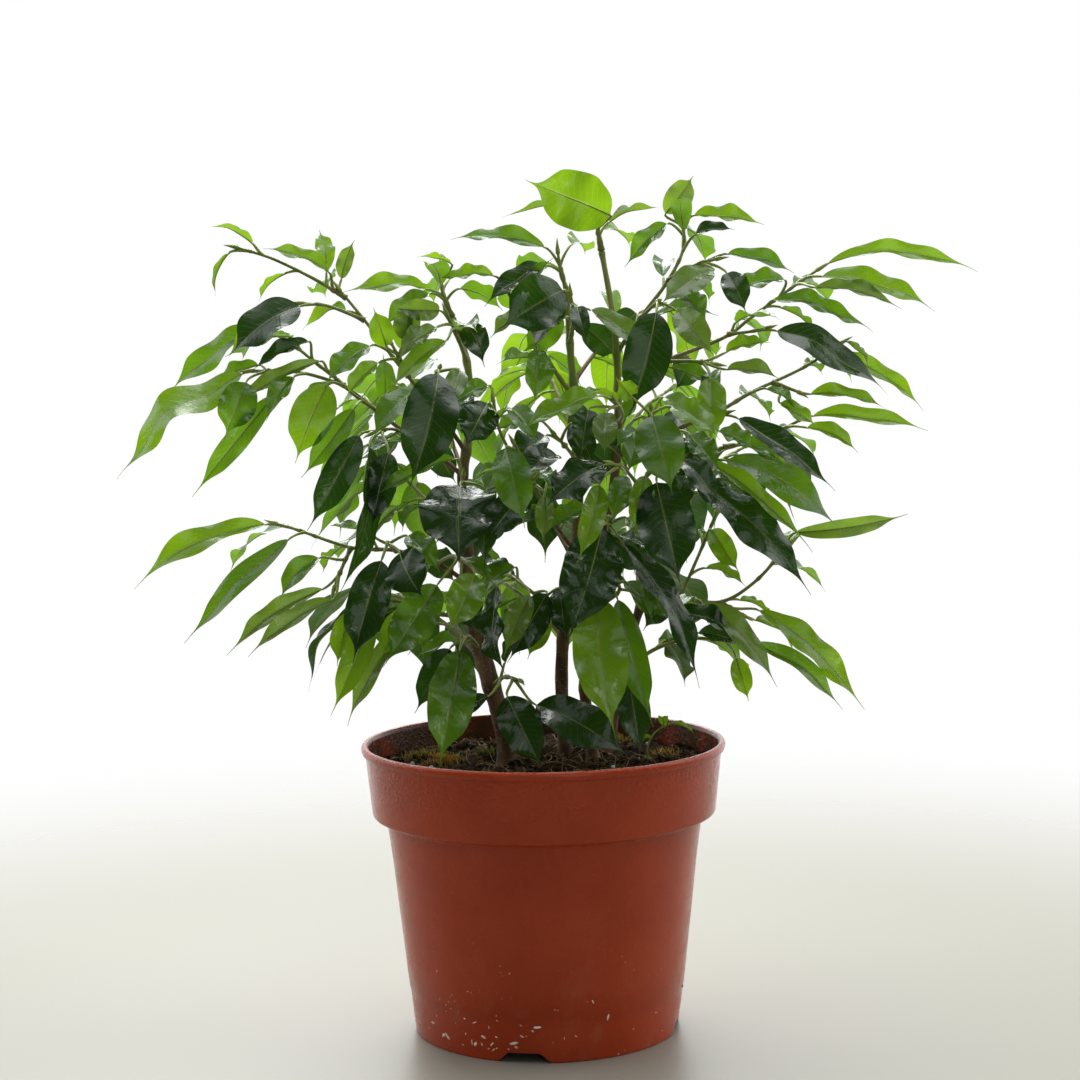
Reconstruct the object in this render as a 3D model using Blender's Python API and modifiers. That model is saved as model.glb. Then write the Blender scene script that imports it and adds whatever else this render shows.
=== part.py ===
"""Potted weeping fig: a 13 cm nursery pot, its soil, four woody stems and their leafy branches.

Run it with:  blender --background --python part.py
Sizes below are in millimetres and are turned into metres when each mesh is made.
The origin is the middle of the pot's base, on the surface it stands on, +Z up, front at -Y.
"""

import math

import bmesh
import bpy
import numpy as np
from mathutils import Quaternion, Vector
from mathutils.bvhtree import BVHTree
from mathutils.geometry import intersect_point_line

MM = 0.001
SMOOTH_UNDER = math.radians(50)  # edges blunter than this are shaded smooth

# ---------------------------------------------------------------- the pot
POT_DIAMETER = 130.0  # across the lip
POT_HEIGHT = 103.0
FOOT_DIAMETER = 95.0
WALL = 1.2
LIP_WIDTH = 1.6  # how far the rolled lip stands out of the collar
LIP_HEIGHT = 3.0
LIP_ROUND = 0.4  # share of the lip's width, height and wall that its corners are cut by
COLLAR_HEIGHT = 25.0  # lip to the step under the collar
COLLAR_TAPER = 2.3  # how much narrower the collar's radius is at its lower edge
STEP_WIDTH = 5.2  # the collar's lower edge stands this far out of the body
STEP_HEIGHT = 1.6
FLOOR_HEIGHT = 4.0  # underside of the raised floor
PAD_DIAMETER = 22.0  # middle foot, level with the foot ring
NOTCH_COUNT = 4
NOTCH_WIDTH = 18.0
NOTCH_HEIGHT = 3.2
NOTCH_TURN = math.radians(10)  # the notches stand this far round from the front
DRAIN_COUNT = 8
DRAIN_DIAMETER = 8.0
DRAIN_CIRCLE = 60.0
DRAIN_SIDES = 12
POT_SIDES = 40

# ---------------------------------------------------------------- the soil
FREEBOARD = 9.0  # lip down to the soil at the wall
SOIL_DOME = 2.4  # how much higher the soil is in the middle
SOIL_LUMPS = 1.0  # height of the lumps on its top
SOIL_RINGS = 5
SOIL_SIDES = 32
ROOT_DEPTH = 16.0  # how deep the stems reach into the soil

# ---------------------------------------------------------------- the plant
GAP = 0.3  # clearance between separate pieces
TRIAL_GAP = 0.42  # clearance asked for while a place is looked for
SOCKET_GAP = 0.36  # clearance round a stem in the soil
PLANT_HEIGHT = 211.0  # soil to the topmost leaf
CROWN_WIDTH = 302.0
PLAN_GROUND = 94.0  # height of the soil in the plan below
PLAN_HEIGHT = 211.0
PLAN_WIDTH = 302.0
STEM_THICKNESS = 1.0  # share of the radii in the plan
TWIG_RADIUS = 1.1
TWIG_TIP_RADIUS = 0.5
SIDE_TWIG = 0.8  # thickness of a side twig at its start, as a share of the branch's
START_STEP = 0.3  # a branch whose start meets something starts further from the stem by this
START_STEPS = 12
LEAF_WIDTH = 1.0  # share of the widths in the plan
LEAF_THICKNESS = 0.6
PETIOLE_RADIUS = 0.5
PETIOLE_SLANT = 4.0  # a leaf stalk leaves its twig this far before the blade's base
PETIOLE_FIRST = 3.0  # no stalk leaves a twig nearer to its start than this
LEAF_FOLD = math.radians(14)  # the halves of a blade rise from its midrib
LEAF_ARCH = 0.10  # rise of the midrib, as a share of the blade's length
WIDEST = 0.4  # where a blade is widest, from base to tip
FULLNESS = 0.6  # power of the outline's lower part: less is rounder
BLADE_STATIONS = (0.12, 0.4, 0.72)  # where the blade's outline has its corners
NARROW = 7.5  # a blade under this width needs only the corners below
NARROW_STATIONS = (0.15, 0.55)
OUTWARD = 0.7  # how far a blade without a stated facing looks outwards, against upwards

# A leaf that would touch a neighbour turns about its twig, the least turn first.
TURN_SIZES = (7, 14, 21, 28, 36, 46, 58)
TURN_WAYS = 8

# Each stem: points up its middle and the radius at each. The first point is its foot in the soil.
STEMS = (
    (
        ((-12, -8, 94), 3.6),
        ((-14, -9, 110), 3.4),
        ((-19, -9, 128), 3.1),
        ((-24, -8, 148), 2.7),
        ((-26, -4, 172), 2.2),
        ((-27, 0, 196), 1.8),
        ((-24, 6, 218), 1.4),
        ((-25, 8, 238), 1.2),
        ((-30, 10, 254), 1.0),
    ),
    (
        ((8, 12, 94), 2.4),
        ((7, 11, 120), 2.3),
        ((8, 9, 140), 2.2),
        ((12, 7, 165), 2.0),
        ((14, 6, 190), 1.8),
        ((14, 6, 213), 1.6),
        ((12, 6, 238), 1.3),
        ((11, 6, 262), 1.0),
    ),
    (
        ((18, -4, 94), 2.0),
        ((15, -5, 124), 2.0),
        ((18, -7, 150), 1.9),
        ((23, -8, 176), 1.7),
        ((27, -9, 202), 1.5),
        ((28, -9, 226), 1.3),
        ((27, -7, 250), 1.1),
        ((23, -4, 276), 0.9),
    ),
    (
        ((24, 20, 94), 1.9),
        ((29, 22, 124), 1.8),
        ((37, 21, 150), 1.6),
        ((46, 17, 174), 1.4),
        ((54, 13, 194), 1.2),
        ((66, 10, 206), 1.0),
    ),
)

# Which way a blade's upper face looks: letters add up, and "" is outwards and up.
WAYS = {
    "U": (0, 0, 1),
    "F": (0, -1, 0),
    "L": (-1, 0, 0),
    "R": (1, 0, 0),
}

# Each branch: the paths of its wood, then its leaves. The first path leaves the nearest stem,
# each later path leaves the first. A leaf: the blade's base, its tip, its width, its facing, its age.
# The age picks the blade's colour; a pale leaf is one seen from its dull underside.
YOUNG, FULL, OLD, PALE = "young", "full", "old", "pale"
AGES = (YOUNG, FULL, OLD, PALE)
BRANCHES = (
    # upper left
    (
        (
            ((-27, 0, 198), (-37, 2, 206), (-48, 2, 214), (-60, 0, 224), (-76, -2, 237), (-86, 1, 245),
             (-93, 3, 249)),
            ((-68, -1, 230), (-82, -6, 235), (-98, -8, 236)),
            ((-56, 0, 220), (-64, -8, 227), (-70, -10, 233)),
            ((-45, 2, 212), (-51, -8, 215), (-57, -14, 214)),
        ),
        (
            (-91, -3, 248, -109, -6, 241, 8, "UF", YOUNG),
            (-97, 5, 251, -131, 8, 228, 11, "UF", FULL),
            (-80, -6, 246, -99, -12, 236, 6, "UF", OLD),
            (-88, 8, 249, -108, 24, 238, 12, "", FULL),
            (-103, -9, 235, -147, -12, 199, 14, "UF", YOUNG),
            (-101, -14, 232, -108, -20, 213, 13, "F", FULL),
            (-98, -3, 238, -114, 4, 232, 6, "UF", FULL),
            (-92, -12, 227, -120, -18, 193, 8, "F", FULL),
            (-73, -14, 231, -84, -20, 204, 15, "F", YOUNG),
            (-76, -8, 239, -111, -10, 220, 6, "UF", PALE),
            (-64, -14, 222, -82, -20, 199, 8, "F", FULL),
            (-62, -17, 213, -80, -24, 181, 11, "F", OLD),
            (-58, -21, 209, -70, -30, 158, 9, "FR", OLD),
            (-53, -22, 207, -60, -28, 181, 11, "F", OLD),
            (-46, 7, 212, -56, 24, 200, 11, "", OLD),
            (-37, 7, 206, -30, 20, 194, 10, "", OLD),
            (-62, 5, 226, -76, 21, 216, 11, "", FULL),
        ),
    ),
    (
        (
            ((-26, 3, 206), (-32, -4, 216), (-41, -8, 228), (-51, -8, 241), (-60, -6, 253), (-68, -5, 263)),
            ((-60, -6, 253), (-72, -9, 258), (-80, -10, 259)),
            ((-66, -5, 261), (-78, -3, 268), (-92, -2, 275), (-104, 0, 279)),
            ((-37, -6, 222), (-36, -22, 231), (-33, -36, 236)),
            ((-45, -8, 233), (-48, -12, 240), (-50, -13, 244)),
        ),
        (
            (-108, 0, 277, -112, -3, 262, 4, "", YOUNG),
            (-72, -8, 270, -94, -12, 278, 6, "UF", YOUNG),
            (-82, -12, 258, -106, -18, 241, 17, "UF", OLD),
            (-68, -2, 268, -63, -4, 281, 5, "F", PALE),
            (-72, 2, 268, -76, 22, 262, 11, "", FULL),
            (-33, -43, 234, -43, -54, 196, 18, "F", OLD),
            (-26, -37, 235, -31, -46, 222, 7, "F", PALE),
            (-41, -30, 229, -56, -42, 212, 10, "UF", FULL),
            (-52, -15, 244, -56, -18, 257, 8, "F", YOUNG),
            (-46, -10, 246, -44, -8, 259, 9, "F", PALE),
            (-55, -18, 238, -66, -25, 226, 6, "UF", YOUNG),
            (-37, -2, 230, -52, 6, 218, 10, "UF", FULL),
            (-29, -20, 228, -22, -34, 213, 10, "F", OLD),
            (-58, -14, 244, -73, -22, 231, 9, "UF", FULL),
        ),
    ),
    (
        (
            ((-25, 8, 238), (-28, 0, 247), (-31, -5, 254)),
        ),
        (
            (-34, -6, 256, -50, -13, 257, 7, "F", PALE),
            (-36, -9, 250, -50, -18, 238, 7, "UF", PALE),
            (-33, -12, 246, -54, -24, 231, 7, "UF", YOUNG),
            (-24, -8, 250, -18, -22, 236, 9, "F", OLD),
        ),
    ),
    (
        (
            ((-30, 10, 254), (-33, 9, 262), (-34, 8, 270)),
        ),
        (
            (-39, 7, 264, -68, 2, 263, 8, "UF", YOUNG),
            (-38, 2, 262, -54, -6, 249, 7, "UF", FULL),
            (-30, 7, 273, -42, 4, 275, 5, "U", YOUNG),
            (-31, 15, 268, -38, 42, 258, 11, "", FULL),
            (-27, 10, 264, -12, 18, 256, 8, "", FULL),
        ),
    ),
    # front, upper middle
    (
        (
            ((-26, -3, 184), (-27, -13, 193), (-26, -21, 199)),
        ),
        (
            (-27, -26, 196, -27, -52, 170, 26, "F", OLD),
            (-29, -24, 205, -57, -30, 192, 6, "UF", FULL),
            (-18, -24, 193, -19, -34, 168, 10, "F", OLD),
        ),
    ),
    (
        (
            ((12, 7, 170), (6, -8, 180), (0, -22, 192), (-4, -33, 202), (-8, -38, 210)),
            ((3, -15, 186), (-6, -22, 200), (-13, -27, 214), (-15, -31, 224)),
        ),
        (
            (-11, -42, 209, -5, -54, 183, 13, "F", FULL),
            (-5, -36, 193, -21, -46, 177, 12, "UF", OLD),
            (2, -36, 192, 1, -42, 177, 6, "F", PALE),
            (-17, -35, 224, -25, -46, 209, 13, "F", OLD),
            (-9, -32, 222, 0, -42, 210, 8, "UF", FULL),
            (-17, -28, 230, -32, -34, 222, 8, "UF", FULL),
            (6, -28, 206, -5, -40, 200, 10, "UF", OLD),
            (2, -10, 196, -12, -4, 184, 11, "F", OLD),
            (-2, -20, 205, -15, -12, 197, 9, "UF", FULL),
        ),
    ),
    (
        (
            ((28, -9, 216), (29, -22, 219), (26, -34, 224)),
        ),
        (
            (20, -41, 226, -7, -50, 214, 9, "UF", YOUNG),
            (23, -38, 220, 22, -47, 206, 8, "F", PALE),
            (17, -30, 221, 14, -38, 205, 9, "F", OLD),
        ),
    ),
    (
        (
            ((14, 6, 200), (11, -8, 206), (6, -17, 212)),
        ),
        (
            (3, -21, 213, -8, -30, 204, 12, "UF", OLD),
            (12, -19, 216, 19, -25, 202, 9, "F", OLD),
            (-1, -14, 218, -16, -18, 214, 8, "UF", FULL),
            (16, -10, 208, 28, -2, 197, 10, "F", OLD),
        ),
    ),
    # front, right of the middle
    (
        (
            ((24, -8, 184), (34, -24, 195), (41, -38, 203), (41, -46, 203)),
            ((34, -24, 195), (29, -33, 201), (25, -38, 203)),
        ),
        (
            (39, -49, 197, 46, -60, 163, 19, "F", OLD),
            (35, -47, 200, 30, -56, 181, 8, "F", YOUNG),
            (29, -42, 199, 24, -50, 183, 7, "F", FULL),
            (22, -41, 203, 2, -50, 189, 14, "UF", OLD),
            (20, -44, 196, 12, -56, 171, 8, "F", YOUNG),
            (48, -46, 204, 60, -54, 190, 9, "UF", OLD),
        ),
    ),
    (
        (
            ((27, -9, 204), (37, -12, 209), (49, -14, 214), (62, -12, 219), (75, -8, 226), (93, -4, 234),
             (106, -2, 242)),
            ((38, -12, 209), (38, -26, 215), (38, -37, 221)),
            ((60, -12, 218), (64, -18, 219)),
            ((82, -6, 229), (90, -10, 226)),
        ),
        (
            (38, -43, 219, 44, -56, 193, 16, "F", FULL),
            (45, -40, 222, 60, -50, 211, 10, "UF", YOUNG),
            (31, -38, 226, 26, -48, 232, 7, "F", YOUNG),
            (69, -22, 217, 101, -28, 192, 10, "UF", OLD),
            (62, -24, 213, 74, -31, 206, 7, "UF", FULL),
            (95, -12, 225, 121, -15, 219, 6, "UF", YOUNG),
            (84, -15, 222, 96, -20, 214, 6, "UF", YOUNG),
            (109, -3, 243, 116, -5, 234, 5, "", PALE),
            (107, 3, 239, 137, 6, 218, 7, "UF", YOUNG),
            (98, 5, 238, 114, 24, 228, 11, "", FULL),
            (72, 2, 226, 84, 20, 214, 12, "", FULL),
            (52, -22, 212, 62, -34, 200, 9, "UF", FULL),
            (43, -31, 225, 58, -41, 215, 9, "UF", YOUNG),
            (45, -20, 211, 56, -30, 198, 10, "F", OLD),
            (33, -22, 212, 28, -34, 199, 9, "F", FULL),
            (44, -4, 217, 54, 10, 206, 11, "UF", OLD),
            (54, -6, 222, 62, -16, 210, 9, "UF", FULL),
        ),
    ),
    # front, lower middle
    (
        (
            ((22, -8, 171), (24, -20, 179), (24, -28, 184)),
        ),
        (
            (21, -33, 181, 8, -52, 144, 20, "F", OLD),
            (29, -31, 175, 53, -42, 127, 12, "FR", OLD),
            (30, -28, 184, 44, -38, 173, 9, "UF", YOUNG),
            (16, -26, 187, 2, -34, 180, 8, "UF", FULL),
            (25, -13, 176, 37, -2, 163, 11, "F", OLD),
        ),
    ),
    (
        (
            ((18, -7, 150), (27, -20, 158), (24, -31, 164), (21, -38, 163)),
        ),
        (
            (19, -43, 158, 24, -58, 113, 18, "F", YOUNG),
            (26, -40, 157, 37, -48, 115, 10, "F", FULL),
            (33, -28, 158, 48, -36, 148, 8, "UF", FULL),
        ),
    ),
    (
        (
            ((15, -5, 122), (22, -17, 130), (26, -27, 135)),
        ),
        (
            (29, -33, 131, 33, -42, 104, 11, "F", OLD),
        ),
    ),
    (
        (
            ((-18, -9, 124), (-13, -22, 129), (-8, -30, 129)),
        ),
        (
            (-12, -35, 124, 0, -46, 100, 14, "F", OLD),
            (-2, -35, 121, 29, -46, 104, 17, "UF", OLD),
            (-19, -27, 123, -36, -35, 111, 7, "UF", OLD),
        ),
    ),
    (
        (
            ((-21, -9, 137), (-25, -20, 143), (-27, -28, 144)),
        ),
        (
            (-28, -34, 140, -35, -48, 102, 16, "F", FULL),
            (-32, -22, 139, -44, -30, 118, 10, "F", OLD),
        ),
    ),
    (
        (
            ((9, 9, 145), (1, -3, 153), (-6, -14, 160), (-10, -24, 164)),
        ),
        (
            (-15, -30, 161, -12, -44, 132, 12, "FL", OLD),
            (-4, -30, 158, -13, -38, 138, 8, "F", PALE),
            (2, -16, 157, -12, -22, 134, 12, "F", OLD),
            (1, -8, 149, -5, -14, 134, 9, "F", YOUNG),
            (7, -10, 158, 9, -22, 140, 9, "F", OLD),
            (-9, -20, 167, -22, -14, 156, 9, "UF", FULL),
        ),
    ),
    # left, middle and low
    (
        (
            ((-25, -6, 160), (-36, -13, 168), (-50, -16, 173), (-66, -12, 174), (-85, -6, 180),
             (-92, -5, 182)),
            ((-36, -13, 168), (-30, -28, 172), (-25, -41, 171)),
            ((-50, -16, 173), (-52, -24, 176), (-52, -31, 177)),
            ((-66, -12, 174), (-69, -18, 167), (-71, -20, 162)),
        ),
        (
            (-22, -47, 167, -31, -60, 149, 12, "F", YOUNG),
            (-35, -40, 163, -53, -50, 137, 14, "F", FULL),
            (-27, -40, 163, -21, -48, 147, 11, "F", OLD),
            (-54, -34, 171, -64, -40, 137, 14, "F", OLD),
            (-47, -35, 173, -38, -46, 157, 15, "F", OLD),
            (-45, -28, 179, -34, -38, 167, 9, "UF", FULL),
            (-57, -24, 180, -47, -22, 190, 6, "UF", PALE),
            (-97, -4, 182, -143, -7, 160, 10, "UF", YOUNG),
            (-88, -12, 177, -124, -19, 142, 9, "UF", FULL),
            (-90, 3, 181, -114, 22, 160, 12, "", FULL),
            (-77, -18, 171, -90, -24, 157, 8, "UF", FULL),
            (-76, -17, 160, -109, -23, 138, 7, "UF", PALE),
            (-72, -25, 157, -100, -34, 139, 6, "UF", PALE),
            (-62, -4, 178, -74, 16, 166, 12, "", FULL),
            (-38, -8, 171, -30, 5, 159, 11, "", OLD),
        ),
    ),
    (
        (
            ((-24, -8, 148), (-35, -19, 151), (-48, -26, 156), (-60, -28, 158)),
        ),
        (
            (-57, -33, 155, -72, -38, 119, 9, "F", YOUNG),
            (-65, -29, 153, -70, -32, 135, 8, "F", YOUNG),
            (-64, -22, 156, -81, -22, 125, 9, "L", OLD),
            (-47, -35, 154, -55, -42, 138, 8, "F", YOUNG),
            (-45, -26, 148, -67, -30, 114, 7, "UF", PALE),
            (-38, -24, 156, -46, -28, 138, 8, "F", FULL),
        ),
    ),
    # top
    (
        (
            ((23, -4, 276), (22, -5, 282), (21, -6, 287)),
        ),
        (
            (26, -9, 288, -3, -15, 300, 20, "F", YOUNG),
            (15, -2, 290, -12, 2, 288, 5, "U", PALE),
            (26, -3, 286, 45, 1, 291, 5, "U", PALE),
            (24, 3, 284, 34, 22, 278, 11, "", YOUNG),
        ),
    ),
    (
        (
            ((11, 6, 262), (9, 5, 269), (8, 4, 275)),
        ),
        (
            (3, 4, 278, -30, 6, 281, 8, "UF", FULL),
            (3, 0, 271, -18, -8, 257, 9, "UF", OLD),
            (13, 9, 279, 18, 30, 276, 10, "", YOUNG),
            (4, 11, 273, -8, 32, 266, 10, "", FULL),
        ),
    ),
    (
        (
            ((12, 6, 244), (13, -5, 253), (12, -13, 260)),
        ),
        (
            (9, -18, 262, -13, -30, 249, 19, "F", OLD),
            (19, -15, 255, 39, -22, 238, 8, "UF", PALE),
            (14, -19, 256, 17, -28, 243, 6, "F", OLD),
            (16, -4, 250, 28, 6, 239, 10, "F", OLD),
            (9, -6, 253, -5, -2, 241, 10, "F", FULL),
        ),
    ),
    (
        (
            ((13, 6, 224), (7, 3, 233), (1, 1, 243), (-6, -1, 254), (-10, -3, 263)),
        ),
        (
            (-4, -9, 254, -16, -18, 246, 6, "UF", PALE),
            (-15, -3, 268, -35, -1, 267, 6, "UF", YOUNG),
            (-9, 4, 265, -16, 28, 254, 11, "", FULL),
            (-2, -8, 244, -8, -22, 229, 10, "F", FULL),
            (4, 6, 240, 16, 18, 228, 10, "", FULL),
        ),
    ),
    (
        (
            ((28, -8, 240), (36, -7, 252), (46, -5, 265), (52, 0, 277), (51, 3, 288)),
            ((46, -5, 265), (55, -8, 270), (62, -9, 272)),
            ((36, -7, 252), (41, -16, 257), (42, -22, 258)),
        ),
        (
            (46, 3, 289, 56, 6, 302, 9, "F", PALE),
            (46, -1, 285, 31, -6, 270, 7, "UF", FULL),
            (56, 0, 288, 80, -4, 284, 7, "UF", YOUNG),
            (56, -6, 281, 69, -12, 282, 6, "UF", OLD),
            (54, 9, 284, 62, 32, 272, 12, "", FULL),
            (67, -8, 274, 90, -6, 267, 7, "UF", FULL),
            (61, -14, 268, 42, -22, 256, 12, "UF", PALE),
            (66, -14, 267, 72, -21, 253, 9, "F", OLD),
            (42, -28, 255, 31, -40, 223, 16, "F", OLD),
            (48, -25, 254, 60, -37, 238, 10, "F", PALE),
            (35, -1, 254, 26, 10, 243, 10, "", OLD),
            (51, 2, 268, 62, 15, 257, 10, "", FULL),
            (49, -11, 262, 59, -19, 249, 9, "UF", FULL),
        ),
    ),
    # right
    (
        (
            ((28, -9, 228), (45, 0, 237), (66, 5, 245), (76, 6, 252), (90, 6, 262), (99, 6, 268)),
            ((68, 5, 246), (75, -1, 247), (80, -4, 248)),
            ((45, 0, 237), (54, -5, 237), (61, -8, 236)),
        ),
        (
            (101, 2, 266, 140, 0, 253, 10, "UF", YOUNG),
            (104, 8, 271, 157, 10, 267, 7, "UF", YOUNG),
            (98, -4, 262, 127, -8, 254, 6, "UF", PALE),
            (87, 0, 265, 67, -5, 262, 8, "UF", FULL),
            (84, -7, 247, 122, -10, 224, 14, "UF", OLD),
            (84, 2, 258, 119, 4, 246, 8, "UF", FULL),
            (66, -7, 240, 81, -10, 243, 6, "UF", YOUNG),
            (66, -12, 234, 84, -17, 230, 6, "UF", PALE),
            (59, -14, 231, 57, -24, 208, 10, "F", YOUNG),
            (72, 12, 252, 82, 36, 240, 12, "", FULL),
            (92, 13, 264, 108, 34, 256, 10, "", FULL),
            (54, 8, 238, 50, 26, 226, 11, "", OLD),
            (38, 3, 233, 30, 16, 221, 10, "", FULL),
        ),
    ),
    (
        (
            ((66, 10, 206), (80, 8, 209), (92, 6, 215)),
        ),
        (
            (98, 5, 217, 138, 2, 211, 7, "UF", YOUNG),
            (95, -1, 213, 112, -6, 204, 6, "UF", YOUNG),
            (85, 14, 211, 102, 34, 200, 12, "", FULL),
            (73, 2, 208, 86, -6, 200, 8, "UF", FULL),
        ),
    ),
    (
        (
            ((52, 14, 190), (58, 4, 199), (62, -3, 203)),
            ((56, 7, 196), (54, -6, 199), (52, -15, 200)),
        ),
        (
            (66, -6, 202, 105, -13, 177, 15, "UF", FULL),
            (54, -20, 196, 92, -32, 157, 15, "UF", OLD),
            (57, -20, 203, 92, -38, 172, 6, "UF", YOUNG),
            (52, -4, 196, 43, -12, 183, 10, "F", OLD),
        ),
    ),
    (
        (
            ((37, 21, 151), (50, 11, 152), (64, 5, 151), (76, 3, 158), (88, 1, 171)),
            ((50, 11, 152), (57, 9, 168), (63, 8, 182)),
            ((55, 9, 151), (54, -1, 153)),
            ((64, 5, 151), (71, 3, 147)),
        ),
        (
            (91, 0, 176, 130, -2, 182, 6, "F", PALE),
            (61, 3, 177, 70, -5, 162, 8, "F", YOUNG),
            (66, 12, 186, 84, 26, 174, 12, "", FULL),
            (58, 16, 176, 66, 36, 162, 11, "", FULL),
            (57, -5, 152, 82, -15, 123, 9, "UF", PALE),
            (49, -6, 149, 70, -14, 140, 8, "UF", OLD),
            (78, 2, 148, 114, -5, 113, 10, "UF", YOUNG),
            (77, 8, 144, 92, 16, 130, 8, "", YOUNG),
            (84, 9, 164, 104, 22, 152, 11, "", FULL),
            (45, 8, 154, 36, -3, 142, 10, "F", OLD),
        ),
    ),
    (
        (
            ((29, 22, 124), (42, 25, 132), (56, 22, 136), (70, 15, 135)),
        ),
        (
            (77, 12, 135, 108, 8, 111, 7, "UF", FULL),
            (70, 9, 130, 74, 5, 115, 7, "F", YOUNG),
            (57, 14, 139, 76, 6, 134, 7, "UF", OLD),
            (62, 29, 134, 76, 42, 116, 12, "", FULL),
            (46, 32, 134, 54, 50, 114, 12, "", OLD),
        ),
    ),
)

# The side away from the front: each branch's path, then how many leaves it carries and their length,
# width and age. The leaves stand alternately to its two sides and hang outwards, and each takes its
# values below in turn.
BACK_FIRST = 0.34  # where the first leaf stands, from the branch's start to its end
BACK_SWINGS = (58.0, 24.0)  # degrees from the branch's own way, at its start and at its end
BACK_DROPS = (38.0, 51.0, 64.0)  # degrees below level
BACK_STALK = 6.0  # how far to the side of the branch a blade begins
BACK_RISES = (2.0, -1.0)  # how far above the branch a blade begins
BACK_LENGTHS = (1.08, 0.94, 0.80)
BACK_WIDTHS = (1.1, 1.0, 0.9, 0.8)
BACK_LEAN = 0.3  # how far the blades' upper faces lean outwards
BACK_BRANCHES = (
    (((-26, -4, 172), (-37, 16, 184), (-50, 36, 196), (-62, 52, 205)), 7, 40, 15, FULL),
    (((-26, 1, 198), (-34, 24, 214), (-46, 44, 226), (-56, 62, 232)), 7, 40, 15, FULL),
    (((-20, -9, 132), (-32, 10, 142), (-46, 24, 150), (-60, 36, 154)), 7, 40, 14, OLD),
    (((12, 7, 166), (4, 26, 180), (-6, 46, 194), (-12, 66, 202)), 7, 42, 16, OLD),
    (((8, 9, 138), (0, 26, 146), (-12, 44, 154), (-20, 62, 156)), 6, 40, 14, FULL),
    (((14, 6, 208), (8, 26, 224), (2, 44, 238), (-2, 58, 246)), 7, 38, 13, YOUNG),
    (((13, 6, 230), (24, 24, 244), (36, 38, 254), (46, 50, 258)), 6, 38, 12, YOUNG),
    (((14, 6, 194), (28, 28, 208), (40, 46, 220), (50, 62, 226)), 7, 42, 16, FULL),
    (((46, 17, 174), (54, 34, 186), (66, 48, 198), (78, 58, 204)), 7, 40, 14, OLD),
    (((37, 21, 148), (36, 42, 160), (34, 60, 170), (34, 78, 174)), 7, 42, 16, OLD),
)


# ---------------------------------------------------------------- scene, materials, collections
def clear_scene():
    for obj in list(bpy.data.objects):
        bpy.data.objects.remove(obj, do_unlink=True)


def new_collection(name):
    collection = bpy.data.collections.new(name)
    bpy.context.scene.collection.children.link(collection)
    return collection


def material(name, color, roughness):
    made = bpy.data.materials.new(name)
    made.use_nodes = True
    shader = made.node_tree.nodes["Principled BSDF"]
    shader.inputs["Base Color"].default_value = (*color, 1.0)
    shader.inputs["Roughness"].default_value = roughness
    made.diffuse_color = (*color, 1.0)
    return made


def as_guide(obj, guides):
    """A helper that the other pieces are cut or joined with."""
    for collection in list(obj.users_collection):
        collection.objects.unlink(obj)
    guides.objects.link(obj)
    obj.hide_render = True
    obj.display_type = "WIRE"
    return obj


def evaluated_mesh(obj):
    bpy.context.view_layer.update()
    graph = bpy.context.evaluated_depsgraph_get()
    return bpy.data.meshes.new_from_object(obj.evaluated_get(graph))


# ---------------------------------------------------------------- shapes
def turned(name, profile, collection, steps):
    """A profile of (radius, height) in mm, turned about Z. It runs down its outer side."""
    mesh = bpy.data.meshes.new(name)
    points = [(r * MM, 0.0, z * MM) for r, z in profile]
    edges = [(i, i + 1) for i in range(len(points) - 1)]
    if profile[0][0] > 0:
        edges.append((len(points) - 1, 0))
    mesh.from_pydata(points, edges, [])
    obj = bpy.data.objects.new(name, mesh)
    collection.objects.link(obj)
    screw = obj.modifiers.new("turn", "SCREW")
    screw.axis = "Z"
    screw.angle = math.tau
    screw.steps = steps
    screw.render_steps = steps
    screw.use_merge_vertices = True
    screw.merge_threshold = 0.00001
    return obj


def tube(name, path, collection, sides_step, grow=0.0):
    """A round rod through (point, radius) pairs in mm, its ends filled, as a mesh."""
    curve = bpy.data.curves.new(name + "_path", "CURVE")
    curve.dimensions = "3D"
    curve.bevel_depth = MM
    curve.bevel_resolution = sides_step
    curve.use_fill_caps = True
    spline = curve.splines.new("POLY")
    spline.points.add(len(path) - 1)
    for point, (place, radius) in zip(spline.points, path):
        point.co = (*(Vector(place) * MM), 1.0)
        point.radius = radius + grow
    guide = bpy.data.objects.new(name + "_path", curve)
    collection.objects.link(guide)
    mesh = evaluated_mesh(guide)
    mesh.name = name
    obj = bpy.data.objects.new(name, mesh)
    obj.matrix_world = guide.matrix_world.copy()
    collection.objects.link(obj)
    bpy.data.objects.remove(guide, do_unlink=True)
    weld(mesh)
    return obj


def weld(mesh):
    """Joins the points that coincide, turns the faces outwards and shades the round stretches smooth."""
    work = bmesh.new()
    work.from_mesh(mesh)
    bmesh.ops.remove_doubles(work, verts=work.verts, dist=0.000001)
    bmesh.ops.recalc_face_normals(work, faces=work.faces)
    work.to_mesh(mesh)
    work.free()
    mesh.shade_smooth()
    mesh.set_sharp_from_angle(angle=SMOOTH_UNDER)


def boolean(obj, operation, other):
    step = obj.modifiers.new(operation.lower(), "BOOLEAN")
    step.operation = operation
    step.solver = "EXACT"
    step.use_self = operation == "UNION"
    step.object = other


# ---------------------------------------------------------------- the plan, fitted to the sizes
def soil_height():
    return POT_HEIGHT - FREEBOARD


def placed(point):
    """A point of the plan, moved and stretched to the plant's real height, width and pot."""
    spread = CROWN_WIDTH / PLAN_WIDTH
    rise = PLANT_HEIGHT / PLAN_HEIGHT
    return Vector((point[0] * spread, point[1] * spread, soil_height() + (point[2] - PLAN_GROUND) * rise))


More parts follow.
